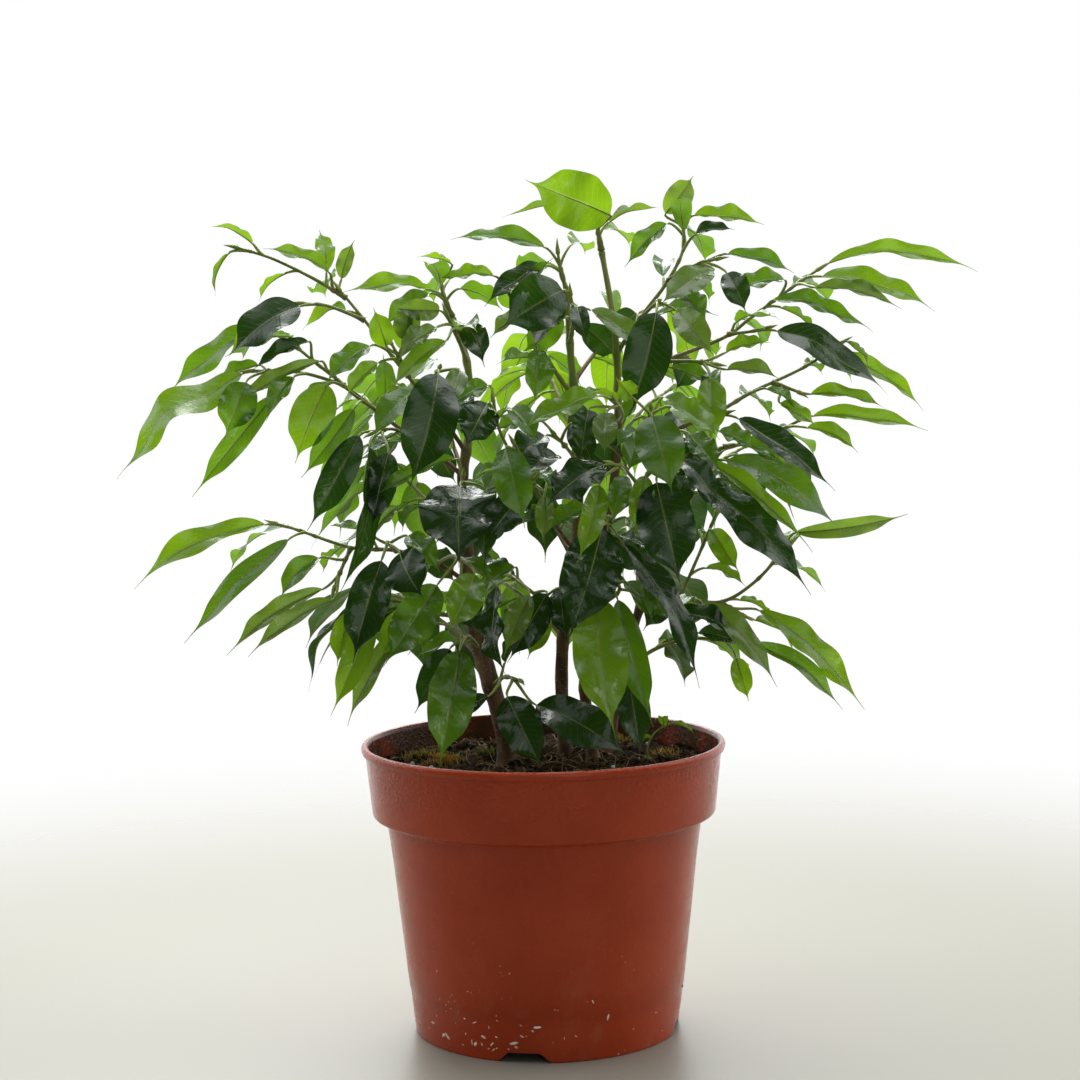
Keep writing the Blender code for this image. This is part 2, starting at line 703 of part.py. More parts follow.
def nearest_on(path, point):
    """The nearest place on a path of (point, radius) pairs: distance, place, radius, length up to it."""
    best = None
    run = 0.0
    for (a, ra), (b, rb) in zip(path, path[1:]):
        share = max(0.0, min(1.0, intersect_point_line(point, a, b)[1]))
        place = a.lerp(b, share)
        found = ((place - point).length, place, ra + (rb - ra) * share, run + (b - a).length * share)
        if best is None or found[0] < best[0]:
            best = found
        run += (b - a).length
    return best


def along(path, length):
    """The place this far along a path of (point, radius) pairs."""
    for (a, _), (b, _) in zip(path, path[1:]):
        step = (b - a).length
        if length <= step:
            return a.lerp(b, max(0.0, length) / step)
        length -= step
    return path[-1][0].copy()


def eased(points):
    """The same route with its corners softened: one more point in each stretch, on a smooth curve."""
    made = []
    for i in range(len(points) - 1):
        before = points[max(i - 1, 0)]
        a, b = points[i], points[i + 1]
        after = points[min(i + 2, len(points) - 1)]
        made += [a, (a + b) / 2 + ((b - before) - (after - a)) / 16]
    made.append(points[-1].copy())
    return made


def facing_of(letters, base):
    if letters:
        return sum((Vector(WAYS[letter]) for letter in letters), Vector())
    out = Vector((base.x, base.y, 0.0))
    return out.normalized() * OUTWARD + Vector((0, 0, 1))


# ---------------------------------------------------------------- leaves
def blade_share(t):
    """Half-width of a blade at t from base to tip, as a share of its widest: oval with a drawn-out tip."""
    if t < WIDEST:
        return (1 - (1 - t / WIDEST) ** 2) ** FULLNESS
    return math.cos(math.pi / 2 * (t - WIDEST) / (1 - WIDEST)) ** 2


def leaf_rings(root, base, tip, width, facing, grow=0.0):
    """The leaf as rings of four points (left, top, right, bottom) from its stalk's root to its tip."""
    chord = tip - base
    length = chord.length
    ahead = chord / length
    up = facing - ahead * facing.dot(ahead)
    if up.length < 0.05:
        up = ahead.orthogonal()
    up.normalize()
    side = ahead.cross(up)
    stalk = (base - root).normalized()

    first = (ahead + up * 4 * LEAF_ARCH).normalized()
    joint = (stalk + first).normalized()
    joint_side = (side - joint * side.dot(joint)).normalized()
    joint_up = joint_side.cross(joint)
    back = joint.rotation_difference(stalk)
    rings = [ring(root, back @ joint_side, back @ joint_up, PETIOLE_RADIUS, PETIOLE_RADIUS, 0.0, grow)]
    rings.append(ring(base, joint_side, joint_up, PETIOLE_RADIUS, LEAF_THICKNESS / 2, 0.0, grow))
    for t in BLADE_STATIONS if width > NARROW else NARROW_STATIONS:
        heading = (ahead + up * 4 * LEAF_ARCH * (1 - 2 * t)).normalized()
        centre = base + chord * t + up * 4 * LEAF_ARCH * t * (1 - t) * length
        half = width / 2 * LEAF_WIDTH * blade_share(t)
        rings.append(ring(centre, side, side.cross(heading), half, LEAF_THICKNESS / 2, LEAF_FOLD, grow))
    rings.append([tip + ahead * grow])
    return rings


def ring(centre, side, up, half, thick, fold, grow):
    reach = half + grow
    rise = up * (half * math.sin(fold))
    return [
        centre - side * reach * math.cos(fold) + rise,
        centre + up * (thick + grow),
        centre + side * reach * math.cos(fold) + rise,
        centre - up * (thick + grow),
    ]


def loft(rings):
    """Points and faces of the closed skin over the rings, the last of which is one point."""
    points = [p for made in rings for p in made]
    faces = [(0, 1, 2, 3)]
    for i in range(len(rings) - 2):
        for j in range(4):
            k = (j + 1) % 4
            faces.append((4 * i + j, 4 * i + 4 + j, 4 * i + 4 + k, 4 * i + k))
    last = 4 * (len(rings) - 2)
    tip = len(points) - 1
    for j in range(4):
        faces.append((last + j, tip, last + (j + 1) % 4))
    return points, faces


def tree_of(points, faces):
    return BVHTree.FromPolygons([tuple(p) for p in points], faces)


def turns():
    """Every turn that a leaf or a branch may take, the least first: (yaw, pitch) in radians."""
    made = [(0.0, 0.0)]
    for size in TURN_SIZES:
        for i in range(TURN_WAYS):
            angle = math.tau * i / TURN_WAYS
            made.append((math.radians(size) * math.cos(angle), math.radians(size) * math.sin(angle)))
    return made


def turned_about(centre, point, heading, turn):
    across = Vector((0, 0, 1)).cross(heading)
    if across.length < 0.001:
        across = Vector((1, 0, 0))
    swing = Quaternion((0, 0, 1), turn[0]) @ Quaternion(across.normalized(), turn[1])
    return centre + swing @ (point - centre)


class Space:
    """What is already in its place, so that the next piece keeps clear of it."""

    def __init__(self):
        self.taken = []  # (owner, kind, tree, low corner, high corner)

    def add(self, owner, kind, points, faces):
        grid = np.array([tuple(p) for p in points])
        self.taken.append((owner, kind, tree_of(points, faces), grid.min(axis=0), grid.max(axis=0)))

    def add_object(self, owner, kind, obj):
        mesh = evaluated_mesh(obj)
        points = [obj.matrix_world @ v.co / MM for v in mesh.vertices]
        faces = [tuple(p.vertices) for p in mesh.polygons]
        bpy.data.meshes.remove(mesh)
        self.add(owner, kind, points, faces)

    def free(self, points, faces, ignore):
        """True where this skin crosses nothing, except what ignore(owner, kind) lets through."""
        grid = np.array([tuple(p) for p in points])
        low, high = grid.min(axis=0), grid.max(axis=0)
        tree = None
        for owner, kind, other, other_low, other_high in self.taken:
            if ignore(owner, kind) or (low > other_high).any() or (high < other_low).any():
                continue
            tree = tree or tree_of(points, faces)
            if tree.overlap(other):
                return False
        return True


# ---------------------------------------------------------------- the pieces
def pot_profile():
    rim = POT_DIAMETER / 2
    collar = rim - LIP_WIDTH
    collar_foot = collar - COLLAR_TAPER
    body = collar_foot - STEP_WIDTH
    foot = FOOT_DIAMETER / 2
    step = POT_HEIGHT - COLLAR_HEIGHT
    skirt = foot + (body - foot) * FLOOR_HEIGHT / step
    floor_top = FLOOR_HEIGHT + WALL
    pad = PAD_DIAMETER / 2
    return [
        (0.0, floor_top),
        (skirt - WALL, floor_top),
        (body - WALL, step - STEP_HEIGHT),
        (collar_foot - WALL, step + WALL),
        (collar - WALL, POT_HEIGHT - LIP_ROUND * LIP_HEIGHT),
        (collar - LIP_ROUND * WALL, POT_HEIGHT),
        (rim - LIP_ROUND * LIP_WIDTH, POT_HEIGHT),
        (rim, POT_HEIGHT - LIP_ROUND * LIP_HEIGHT),
        (rim - LIP_ROUND * LIP_WIDTH, POT_HEIGHT - LIP_HEIGHT),
        (collar, POT_HEIGHT - LIP_HEIGHT),
        (collar_foot, step),
        (body, step - STEP_HEIGHT),
        (foot, 0.0),
        (foot - WALL, 0.0),
        (skirt - 2 * WALL, FLOOR_HEIGHT),
        (pad, FLOOR_HEIGHT),
        (pad, 0.0),
        (0.0, 0.0),
    ]


def inner_radius(height):
    """Radius of the pot's inside at a height."""
    inside = pot_profile()[1:5]
    for (ra, za), (rb, zb) in zip(inside, inside[1:]):
        if height <= zb:
            return ra + (rb - ra) * max(0.0, height - za) / (zb - za)
    return inside[-1][0]


def make_pot(parts, guides, look):
    pot = turned("pot", pot_profile(), parts, steps=POT_SIDES)
    cutters = bmesh.new()
    for i in range(DRAIN_COUNT):
        angle = math.tau * (i + 0.5) / DRAIN_COUNT
        made = bmesh.ops.create_cone(
            cutters,
            cap_ends=True,
            segments=DRAIN_SIDES,
            radius1=DRAIN_DIAMETER / 2 * MM,
            radius2=DRAIN_DIAMETER / 2 * MM,
            depth=4 * WALL * MM,
        )
        place = Vector((math.cos(angle), math.sin(angle), 0)) * DRAIN_CIRCLE / 2
        place.z = FLOOR_HEIGHT + WALL / 2
        bmesh.ops.translate(cutters, verts=made["verts"], vec=place * MM)
    reach = 6 * WALL
    for i in range(NOTCH_COUNT):
        made = bmesh.ops.create_cube(cutters, size=MM)
        for vert in made["verts"]:
            low = vert.co.z < 0
            vert.co.x *= NOTCH_WIDTH if low else NOTCH_WIDTH - 2 * NOTCH_HEIGHT
            vert.co.y = vert.co.y * reach - FOOT_DIAMETER / 2 * MM
            vert.co.z = -MM if low else NOTCH_HEIGHT * MM
        turn = Quaternion((0, 0, 1), math.tau * i / NOTCH_COUNT - NOTCH_TURN).to_matrix()
        bmesh.ops.rotate(cutters, verts=made["verts"], cent=(0, 0, 0), matrix=turn)
    mesh = bpy.data.meshes.new("pot_cuts")
    cutters.to_mesh(mesh)
    cutters.free()
    cutter = bpy.data.objects.new("pot_cuts", mesh)
    guides.objects.link(cutter)
    as_guide(cutter, guides)
    boolean(pot, "DIFFERENCE", cutter)
    pot.data.materials.append(look)
    return pot


def stem_path(rows):
    """(point, radius) pairs from the foot down in the soil to the stem's tip."""
    middle = eased([placed(point) for point, _ in rows])
    radii = [radius * STEM_THICKNESS for _, radius in rows]
    widths = []
    for i in range(len(radii) - 1):
        widths += [radii[i], (radii[i] + radii[i + 1]) / 2]
    widths.append(radii[-1])
    foot = middle[0] - Vector((0, 0, ROOT_DEPTH))
    return [(foot, widths[0])] + list(zip(middle, widths))


def make_stem(number, rows, parts, look):
    path = stem_path(rows)
    stem = tube(f"stem_{number}", path, parts, sides_step=2)
    stem.data.materials.append(look)
    return stem, path


def make_soil(parts, guides, look, paths):
    """The root ball: the pot's inside less a gap, a lumpy top, and a socket round each stem's foot."""
    top = soil_height()
    base = FLOOR_HEIGHT + WALL + GAP
    edge = inner_radius(top) - 2 * GAP
    step = POT_HEIGHT - COLLAR_HEIGHT
    profile = [(0.0, top)]
    profile += [(edge * (i + 1) / SOIL_RINGS, top) for i in range(SOIL_RINGS)]
    profile += [
        (inner_radius(step + WALL) - 2 * GAP, step + WALL + GAP),
        (inner_radius(step - STEP_HEIGHT) - 2 * GAP, step - STEP_HEIGHT + GAP),
        (inner_radius(base) - 2 * GAP, base),
        (0.0, base),
    ]
    turned_soil = turned("soil_turned", profile, guides, steps=SOIL_SIDES)
    mesh = evaluated_mesh(turned_soil)
    bpy.data.objects.remove(turned_soil, do_unlink=True)
    mesh.name = "soil"
    for vert in mesh.vertices:
        if vert.co.z < (top - 0.01) * MM:
            continue
        x, y = vert.co.x / MM, vert.co.y / MM
        share = 1 - (math.hypot(x, y) / edge) ** 2
        lump = math.sin(0.31 * x + 0.4) * math.cos(0.27 * y) + 0.6 * math.sin(0.17 * x - 0.36 * y)
        vert.co.z += (SOIL_DOME * share + SOIL_LUMPS * lump * min(1.0, 3 * share)) * MM
    weld(mesh)
    soil = bpy.data.objects.new("soil", mesh)
    parts.objects.link(soil)
    for i, path in enumerate(paths):
        foot, radius = path[0]
        dug = [(foot - Vector((0, 0, GAP)), radius)] + path[1:4]
        socket = as_guide(tube(f"socket_{i + 1}", dug, parts, sides_step=2, grow=SOCKET_GAP), guides)
        boolean(soil, "DIFFERENCE", socket)
    soil.data.materials.clear()
    soil.data.materials.append(look)
    return soil


def wood_widths(count, root_radius):
    return [root_radius + (TWIG_TIP_RADIUS - root_radius) * i / (count - 1) for i in range(count)]


def place_wood(number, routes, stems, guides, space):
    """The wood of one branch: its first route leaves the nearest stem, the others leave the first."""
    owner = f"branch_{number:02d}"
    points = [placed(point) for point in routes[0]]
    _, start, radius, _ = min((nearest_on(path, points[0]) for path in stems), key=lambda found: found[0])
    heading = (points[1] - start).normalized()
    for turn in turns():
        route = [start] + [turned_about(start, point, heading, turn) for point in points[1:]]
        way = (route[1] - start).normalized()
        for extra in range(START_STEPS):
            route[0] = start + way * (radius + GAP + START_STEP * extra)
            made = list(zip(route, wood_widths(len(route), TWIG_RADIUS)))
            if clear_tube(made, space, guides):
                break
        else:
            continue
        break
    paths = [made]
    for row in routes[1:]:
        points = [turned_about(start, placed(point), heading, turn) for point in row]
        root = nearest_on(made, points[0])[1]
        inner = None
        for side_turn in turns():
            route = [root] + [turned_about(root, p, points[-1] - root, side_turn) for p in points[1:]]
            inner = list(zip(route, wood_widths(len(route), SIDE_TWIG * TWIG_RADIUS)))
            if clear_tube(inner, space, guides):
                break
        paths.append(inner)
    for i, path in enumerate(paths):
        obj = tube(f"{owner}_wood_{i}", path, guides, sides_step=0)
        space.add_object(owner, "wood", obj)
        bpy.data.objects.remove(obj, do_unlink=True)
    return paths, start, heading, turn


def clear_tube(path, space, guides):
    trial = tube("trial", path, guides, sides_step=0, grow=TRIAL_GAP)
    points = [v.co / MM for v in trial.data.vertices]
    faces = [tuple(p.vertices) for p in trial.data.polygons]
    bpy.data.objects.remove(trial, do_unlink=True)
    return space.free(points, faces, lambda owner, kind: False)


def rooted(paths, base):
    """Where the stalk of a leaf with this base leaves the wood: a little back from the nearest place."""
    found = [(nearest_on(path, base), path) for path in paths]
    (_, _, _, run), path = min(found, key=lambda item: item[0][0])
    return along(path, max(run - PETIOLE_SLANT, PETIOLE_FIRST))


def place_leaf(owner, paths, leaf, space):
    """Points and faces of a leaf, turned as little as keeps it clear of everything placed before it."""
    base, tip, width, facing, _ = leaf
    root = rooted(paths, base)
    heading = tip - root
    for turn in turns():
        swing = turned_about(Vector(), facing, heading, turn)
        moved = [turned_about(root, point, heading, turn) for point in (base, tip)]
        wide = leaf_rings(root, *moved, width, swing, grow=TRIAL_GAP)
        points, faces = loft(wide)
        if not space.free(points, faces, lambda o, kind: o == owner and kind != "blade"):
            continue
        points, faces = loft(wide[1:])
        if space.free(points, faces, lambda o, kind: o != owner):
            break
    rings = leaf_rings(root, *moved, width, swing)
    points, faces = loft(rings)
    space.add(owner, "stalk", *loft([rings[0], rings[1], [rings[2][1]]]))
    space.add(owner, "blade", *loft(rings[1:]))
    return points, faces


def back_leaves(paths, count, length, width, age):
    """Leaves along a branch, alternately to its two sides, the last one straight on."""
    path = paths[0]
    total = sum((b - a).length for (a, _), (b, _) in zip(path, path[1:]))
    leaves = []
    for i in range(count):
        share = BACK_FIRST + (1 - BACK_FIRST) * i / (count - 1)
        place = along(path, share * total)
        heading = (place - along(path, share * total - BACK_STALK)).normalized()
        out = Vector((heading.x, heading.y, 0)).normalized()
        swing = math.radians(BACK_SWINGS[0] + (BACK_SWINGS[1] - BACK_SWINGS[0]) * share)
        if i == count - 1:
            swing = 0.0
        elif i % 2 == 0:
            swing = -swing
        way = Quaternion((0, 0, 1), swing) @ out
        drop = math.radians(BACK_DROPS[i % len(BACK_DROPS)])
        hang = way * math.cos(drop) - Vector((0, 0, math.sin(drop)))
        base = place + way * BACK_STALK + Vector((0, 0, BACK_RISES[i % len(BACK_RISES)]))
        tip = base + hang * length * BACK_LENGTHS[i % len(BACK_LENGTHS)]
        facing = way * (math.sin(drop) + BACK_LEAN) + Vector((0, 0, math.cos(drop)))
        leaves.append((base, tip, width * BACK_WIDTHS[i % len(BACK_WIDTHS)], facing, age))
    return leaves


def join_branch(number, paths, leaves, parts, guides, looks):
    """One solid: the wood's routes and the leaves, joined. Each blade takes the colour of its age."""
    owner = f"branch_{number:02d}"
    branch = tube(owner, paths[0], parts, sides_step=0)
    work = bmesh.new()
    for path in paths[1:]:
        side = tube("side", path, guides, sides_step=0)
        work.from_mesh(side.data)
        bpy.data.objects.remove(side, do_unlink=True)
    for (points, faces), age in leaves:
        verts = [work.verts.new(p * MM) for p in points]
        for face in faces:
            made = work.faces.new([verts[i] for i in face])
            made.material_index = 1 + AGES.index(age)
    bmesh.ops.recalc_face_normals(work, faces=work.faces)
    mesh = bpy.data.meshes.new(owner + "_leaves")
    work.to_mesh(mesh)
    work.free()
    foliage = bpy.data.objects.new(owner + "_leaves", mesh)
    guides.objects.link(foliage)
    as_guide(foliage, guides)
    for look in looks:
        branch.data.materials.append(look)
        mesh.materials.append(look)
    boolean(branch, "UNION", foliage)


def main():
    clear_scene()
    parts = new_collection("potted_ficus")
    guides = new_collection("guides")
    guides.hide_render = True
    pot_look = material("pot_plastic", (0.30, 0.075, 0.035), 0.35)
    soil_look = material("soil_dark", (0.035, 0.024, 0.016), 0.95)
    bark_look = material("bark_brown", (0.13, 0.07, 0.035), 0.8)
    branch_looks = (
        material("twig_green", (0.16, 0.17, 0.05), 0.6),
        material("leaf_young", (0.26, 0.45, 0.02), 0.4),
        material("leaf_full", (0.07, 0.22, 0.01), 0.35),
        material("leaf_old", (0.02, 0.07, 0.01), 0.3),
        material("leaf_pale", (0.20, 0.28, 0.12), 0.5),
    )
    space = Space()
    pot = make_pot(parts, guides, pot_look)
    space.add_object("pot", "pot", pot)
    stems = []
    for i, rows in enumerate(STEMS):
        stem, path = make_stem(i + 1, rows, parts, bark_look)
        space.add_object(stem.name, "stem", stem)
        stems.append(path)
    soil = make_soil(parts, guides, soil_look, stems)
    space.add_object("soil", "soil", soil)

    plan = [(routes, rows, None) for routes, rows in BRANCHES]
    plan += [((route,), None, rule) for route, *rule in BACK_BRANCHES]
    wood = [place_wood(i + 1, routes, stems, guides, space) for i, (routes, _, _) in enumerate(plan)]
    for i, (_, rows, rule) in enumerate(plan):
        paths, start, heading, turn = wood[i]
        if rule:
            leaves = back_leaves(paths, *rule)
        else:
            leaves = []
            for row in rows:
                base, tip = placed(row[0:3]), placed(row[3:6])
                facing = facing_of(row[7], base)
                base = turned_about(start, base, heading, turn)
                tip = turned_about(start, tip, heading, turn)
                leaves.append((base, tip, row[6], facing, row[8]))
        owner = f"branch_{i + 1:02d}"
        skins = [(place_leaf(owner, paths, leaf, space), leaf[4]) for leaf in leaves]
        join_branch(i + 1, paths, skins, parts, guides, branch_looks)


main()
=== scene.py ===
# %% [markdown]
# # A potted weeping fig
# A young weeping fig stands in a nursery pot. The frame gives the plain solids of the pot, the soil, the
# four stems and the leafy branches. This lesson gives each of them its fine surface and its finish.
# Lengths are in millimetres until a mesh is made. +Z is up, the front is at -Y, and the origin is the
# middle of the pot's base.

import math

import bmesh
import bpy
import numpy as np
from mathutils import Matrix, Quaternion, Vector
from mathutils.geometry import intersect_point_line
from mathutils.kdtree import KDTree
from mathutils.noise import noise


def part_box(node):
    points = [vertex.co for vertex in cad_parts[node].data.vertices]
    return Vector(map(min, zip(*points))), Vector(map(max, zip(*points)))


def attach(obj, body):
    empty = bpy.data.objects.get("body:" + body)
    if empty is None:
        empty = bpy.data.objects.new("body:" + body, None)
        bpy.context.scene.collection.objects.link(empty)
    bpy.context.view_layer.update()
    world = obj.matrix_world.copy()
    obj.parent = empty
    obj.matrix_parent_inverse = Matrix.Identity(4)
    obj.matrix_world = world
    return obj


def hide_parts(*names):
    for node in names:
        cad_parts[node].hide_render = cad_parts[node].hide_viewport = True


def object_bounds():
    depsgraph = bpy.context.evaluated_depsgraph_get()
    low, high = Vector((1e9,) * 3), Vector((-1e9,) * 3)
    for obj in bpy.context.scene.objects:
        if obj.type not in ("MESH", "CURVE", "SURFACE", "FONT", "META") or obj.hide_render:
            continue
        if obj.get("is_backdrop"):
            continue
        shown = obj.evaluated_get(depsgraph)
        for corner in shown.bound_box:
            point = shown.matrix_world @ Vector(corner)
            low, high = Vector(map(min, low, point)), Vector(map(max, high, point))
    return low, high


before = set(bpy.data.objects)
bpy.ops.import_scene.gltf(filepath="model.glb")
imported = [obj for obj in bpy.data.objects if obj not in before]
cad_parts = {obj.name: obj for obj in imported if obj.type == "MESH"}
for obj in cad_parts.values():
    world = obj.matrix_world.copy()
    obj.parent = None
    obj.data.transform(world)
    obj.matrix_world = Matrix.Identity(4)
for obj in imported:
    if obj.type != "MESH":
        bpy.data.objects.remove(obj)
cad_low, cad_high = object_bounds()
MM = 0.001
UP = Vector((0, 0, 1))
print(len(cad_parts), "solids,", [round(side / MM) for side in cad_high - cad_low], "mm over all")

# %% [markdown]
# ## The camera
# The camera stands level with the crown, a little under a metre away, and looks slightly down, so that the
# soil shows as a narrow oval inside the rim. A long lens keeps the pot's sides nearly parallel. It is tilted
# by about a degree, as a hand-held camera is.

# %% Camera
camera = bpy.data.objects.new("camera", bpy.data.cameras.new("camera"))
bpy.context.collection.objects.link(camera)
bpy.context.scene.camera = camera
camera.data.sensor_width = 36
camera.data.lens = 75.5
camera.location = (0, -0.80, 0.239)
LOOK_DOWN = math.radians(4.6)
TILT = math.radians(0.9)
turned_down = Matrix.Rotation(math.pi / 2 - LOOK_DOWN, 3, "X")
camera.rotation_euler = (turned_down @ Matrix.Rotation(-TILT, 3, "Z")).to_euler()
print("camera at", tuple(round(v, 3) for v in camera.location))

# %% [markdown]
# ## A short way to write finishes
# Each finish is a small graph of nodes. The helpers below add one node, with its settings and its inputs, in
# one call, so that a finish reads from its pattern to its shader. Patterns come from the object's own
# coordinates or from a "place" stored on its points, so they stay on the surface from every side. The
# surroundings are written with the same helpers.

# %% Nodes
def finish(name):
    look = bpy.data.materials.new(name)
    look.use_nodes = True
    look.node_tree.nodes.clear()
    return look


def node(look, kind, inputs, **settings):
    """Adds a node. An input is a value, or another node's output to join to it."""
    made = look.node_tree.nodes.new("ShaderNode" + kind)
    for name, value in settings.items():
        setattr(made, name, value)
    for socket, value in inputs.items():
        if isinstance(value, bpy.types.NodeSocket):
            look.node_tree.links.new(value, made.inputs[socket])
        else:
            made.inputs[socket].default_value = value
    return made


print("node helper ready")

# %% [markdown]
# Arithmetic, soft random patches, the stored place, bumps and plain surfaces come up in almost every finish.

# %% Patterns and surfaces
def calc(look, operation, *values):
    return node(look, "Math", dict(enumerate(values)), operation=operation).outputs[0]


def blend(look, share, low, high):
    """A colour between low and high."""
    colors = {6: low, 7: high}
    for socket, color in colors.items():
        if isinstance(color, tuple):
            colors[socket] = (*color, 1)
    return node(look, "Mix", {0: share, **colors}, data_type="RGBA").outputs[2]


def between(look, value, low, high, start=0.0, end=1.0):
    """Goes smoothly from start to end as value goes from low to high."""
    inputs = {"Value": value, "From Min": low, "From Max": high, "To Min": start, "To Max": end}
    return node(look, "MapRange", inputs, interpolation_type="SMOOTHSTEP").outputs[0]


def cloud(look, scale, detail=3.0, stretch=(1, 1, 1)):
    """Soft random patches in the object's own coordinates."""
    where = node(look, "TexCoord", {}).outputs["Object"]
    where = node(look, "Mapping", {"Vector": where, "Scale": stretch}).outputs[0]
    return node(look, "TexNoise", {"Vector": where, "Scale": scale, "Detail": detail}).outputs["Fac"]


def stored(look, part="Z"):
    """One part of the place kept on each point: X across, Y along, Z its shade."""
    place = node(look, "Attribute", {}, attribute_name="place").outputs["Vector"]
    return node(look, "SeparateXYZ", {0: place}).outputs[part]


def relief(look, height, depth):
    """A bump of this depth, in metres."""
    return node(look, "Bump", {"Height": height, "Strength": 1.0, "Distance": depth}).outputs[0]


def surface(look, color, roughness, bump=None, shine=None):
    """A surface that light does not pass. shine is how strongly it reflects."""
    inputs = {"Base Color": color, "Roughness": roughness, "Normal": bump, "Specular IOR Level": shine}
    inputs = {name: value for name, value in inputs.items() if value is not None}
    return node(look, "BsdfPrincipled", inputs).outputs[0]


def paint(look, shader):
    node(look, "OutputMaterial", {"Surface": shader})
    return look


print("pattern helpers ready")

# %% [markdown]
# ## Soft light and white surroundings
# The plant is lit mostly from behind and above, so light shines through its thin young leaves and its old
# leaves keep dark fronts with white gloss along their folds. Large area lamps give soft edges. A wide lamp in
# front and a small one low down add a little shine to the pot and to the leaves that face forward. The
# surroundings look white all round, but they light brightly from behind and above and dimly from in front.

# %% Lamps and surroundings
def lamp(name, place, size, power, aim=(0, 0, 0.16)):
    light = bpy.data.lights.new(name, "AREA")
    light.shape = "DISK"
    light.size = size
    light.energy = power
    made = bpy.data.objects.new(name, light)
    bpy.context.collection.objects.link(made)
    made.location = place
    made.rotation_euler = (Vector(aim) - Vector(place)).to_track_quat("-Z", "Y").to_euler()


lamp("back_lamp", (-0.2, 1.6, 1.6), 1.8, 52)
lamp("top_lamp", (0.15, 0.35, 1.6), 1.4, 10)
lamp("left_lamp", (-1.5, 0.3, 0.9), 1.3, 4.5)
lamp("right_lamp", (1.5, 0.1, 0.9), 1.3, 4.5)
lamp("front_lamp", (0.4, -1.6, 0.75), 1.4, 4.0)
lamp("low_lamp", (0.42, -1.10, 0.06), 0.30, 0.6, (0, 0, 0.09))

world = bpy.data.worlds.new("white_room")
world.use_nodes = True
bpy.context.scene.world = world
way = node(world, "TexCoord", {}).outputs["Generated"]
BRIGHT_WAY = (0.0, 1.0, 0.75)
facing_light = node(world, "VectorMath", {0: way, 1: BRIGHT_WAY}, operation="DOT_PRODUCT").outputs["Value"]
brightness = between(world, facing_light, -0.1, 0.8, 0.06, 1.45)
lit = node(world, "Background", {"Color": (0.97, 0.99, 1, 1), "Strength": brightness})
seen = node(world, "Background", {"Color": (1, 1, 1, 1), "Strength": 1.0})
straight = node(world, "LightPath", {}).outputs["Is Camera Ray"]
both = node(world, "MixShader", {0: straight, 1: lit.outputs[0], 2: seen.outputs[0]})
world.node_tree.links.new(both.outputs[0], world.node_tree.nodes["World Output"].inputs["Surface"])
bpy.context.scene.view_settings.view_transform = "Standard"


# %% [markdown]
# ## Floor
# The floor is a pale, warm board with a soft shine. It fades out a few hand-widths from the pot, so the white
# surroundings begin without a line.

# %% Floor
floor_look = finish("pale_floor")
floor_grain = cloud(floor_look, 3.0)
floor_place = node(floor_look, "TexCoord", {}).outputs["Object"]
floor_reach = node(floor_look, "VectorMath", {0: floor_place}, operation="LENGTH").outputs["Value"]
floor_color = blend(floor_look, floor_grain, (0.26, 0.25, 0.205), (0.29, 0.28, 0.235))
floor_roughness = between(floor_look, floor_grain, 0.3, 0.7, 0.28, 0.36)
floor_board = surface(floor_look, floor_color, floor_roughness, shine=0.2)
FADE_FROM, FADE_TO = 0.22, 0.60
floor_gone = between(floor_look, floor_reach, FADE_FROM, FADE_TO)
floor_clear = node(floor_look, "BsdfTransparent", {"Color": (1, 1, 1, 1)}).outputs[0]
floor_both = node(floor_look, "MixShader", {0: floor_gone, 1: floor_board, 2: floor_clear})
paint(floor_look, floor_both.outputs[0])
bpy.ops.mesh.primitive_plane_add(size=4)
floor = bpy.context.object
floor.name = "floor"
floor.data.materials.append(floor_look)
floor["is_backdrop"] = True
print("floor:", round(floor.dimensions.x), "m wide")


# %% [markdown]
# ## A skin of points and faces
# Everything here is a sheet of rows: a pot's wall is rows round its axis, a twig is rings along its path, and
# a blade is ribs across its midrib. One collector takes such rows for a whole piece. It also keeps a "place"
# for each point: where it is across and along its own leaf or twig, and a shade. The finishes read it.

# %% The collector
class Skin:
    def __init__(self):
        self.points = []
        self.places = []
        self.faces = []
        self.looks = []

    def rows(self, rows, places, look=0, closed=False):
        """Joins each row of points to the next. A closed row also joins its last point to its first."""
        first = len(self.points)
        count = len(rows[0])
        for row in rows:
            self.points += row
        self.places += places
        for i in range(len(rows) - 1):
            for j in range(count if closed else count - 1):
                a, b = first + i * count + j, first + i * count + (j + 1) % count
                self.faces.append((a, b, b + count, a + count))
                self.looks.append(look)

    def lid(self, first, count, look=0, flip=False):
        """Closes the ring of points that starts at first with one face."""
        ring = tuple(range(first, first + count))
        self.faces.append(ring[::-1] if flip else ring)
        self.looks.append(look)

    def solid(self, points, faces, place, look=0):
        first = len(self.points)
        self.points += points
        self.places += [place] * len(points)
        self.faces += [tuple(first + i for i in face) for face in faces]
        self.looks += [look] * len(faces)

    def piece(self, name, looks, slot, *nodes):
        """Makes the mesh, lets it ride on the body and stand for its CAD nodes."""
        mesh = bpy.data.meshes.new(name)
        mesh.from_pydata([tuple(p * MM) for p in self.points], [], self.faces)
        mesh.polygons.foreach_set("material_index", self.looks)
        place = mesh.attributes.new("place", "FLOAT_VECTOR", "POINT")
        place.data.foreach_set("vector", np.array(self.places, dtype=np.float32).ravel())
        mesh.shade_smooth()
        for look in looks:
            mesh.materials.append(look)
        made = bpy.data.objects.new(name, mesh)
        bpy.context.collection.objects.link(made)
        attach(made, "root")
        if nodes:
            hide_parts(*nodes)
        return made


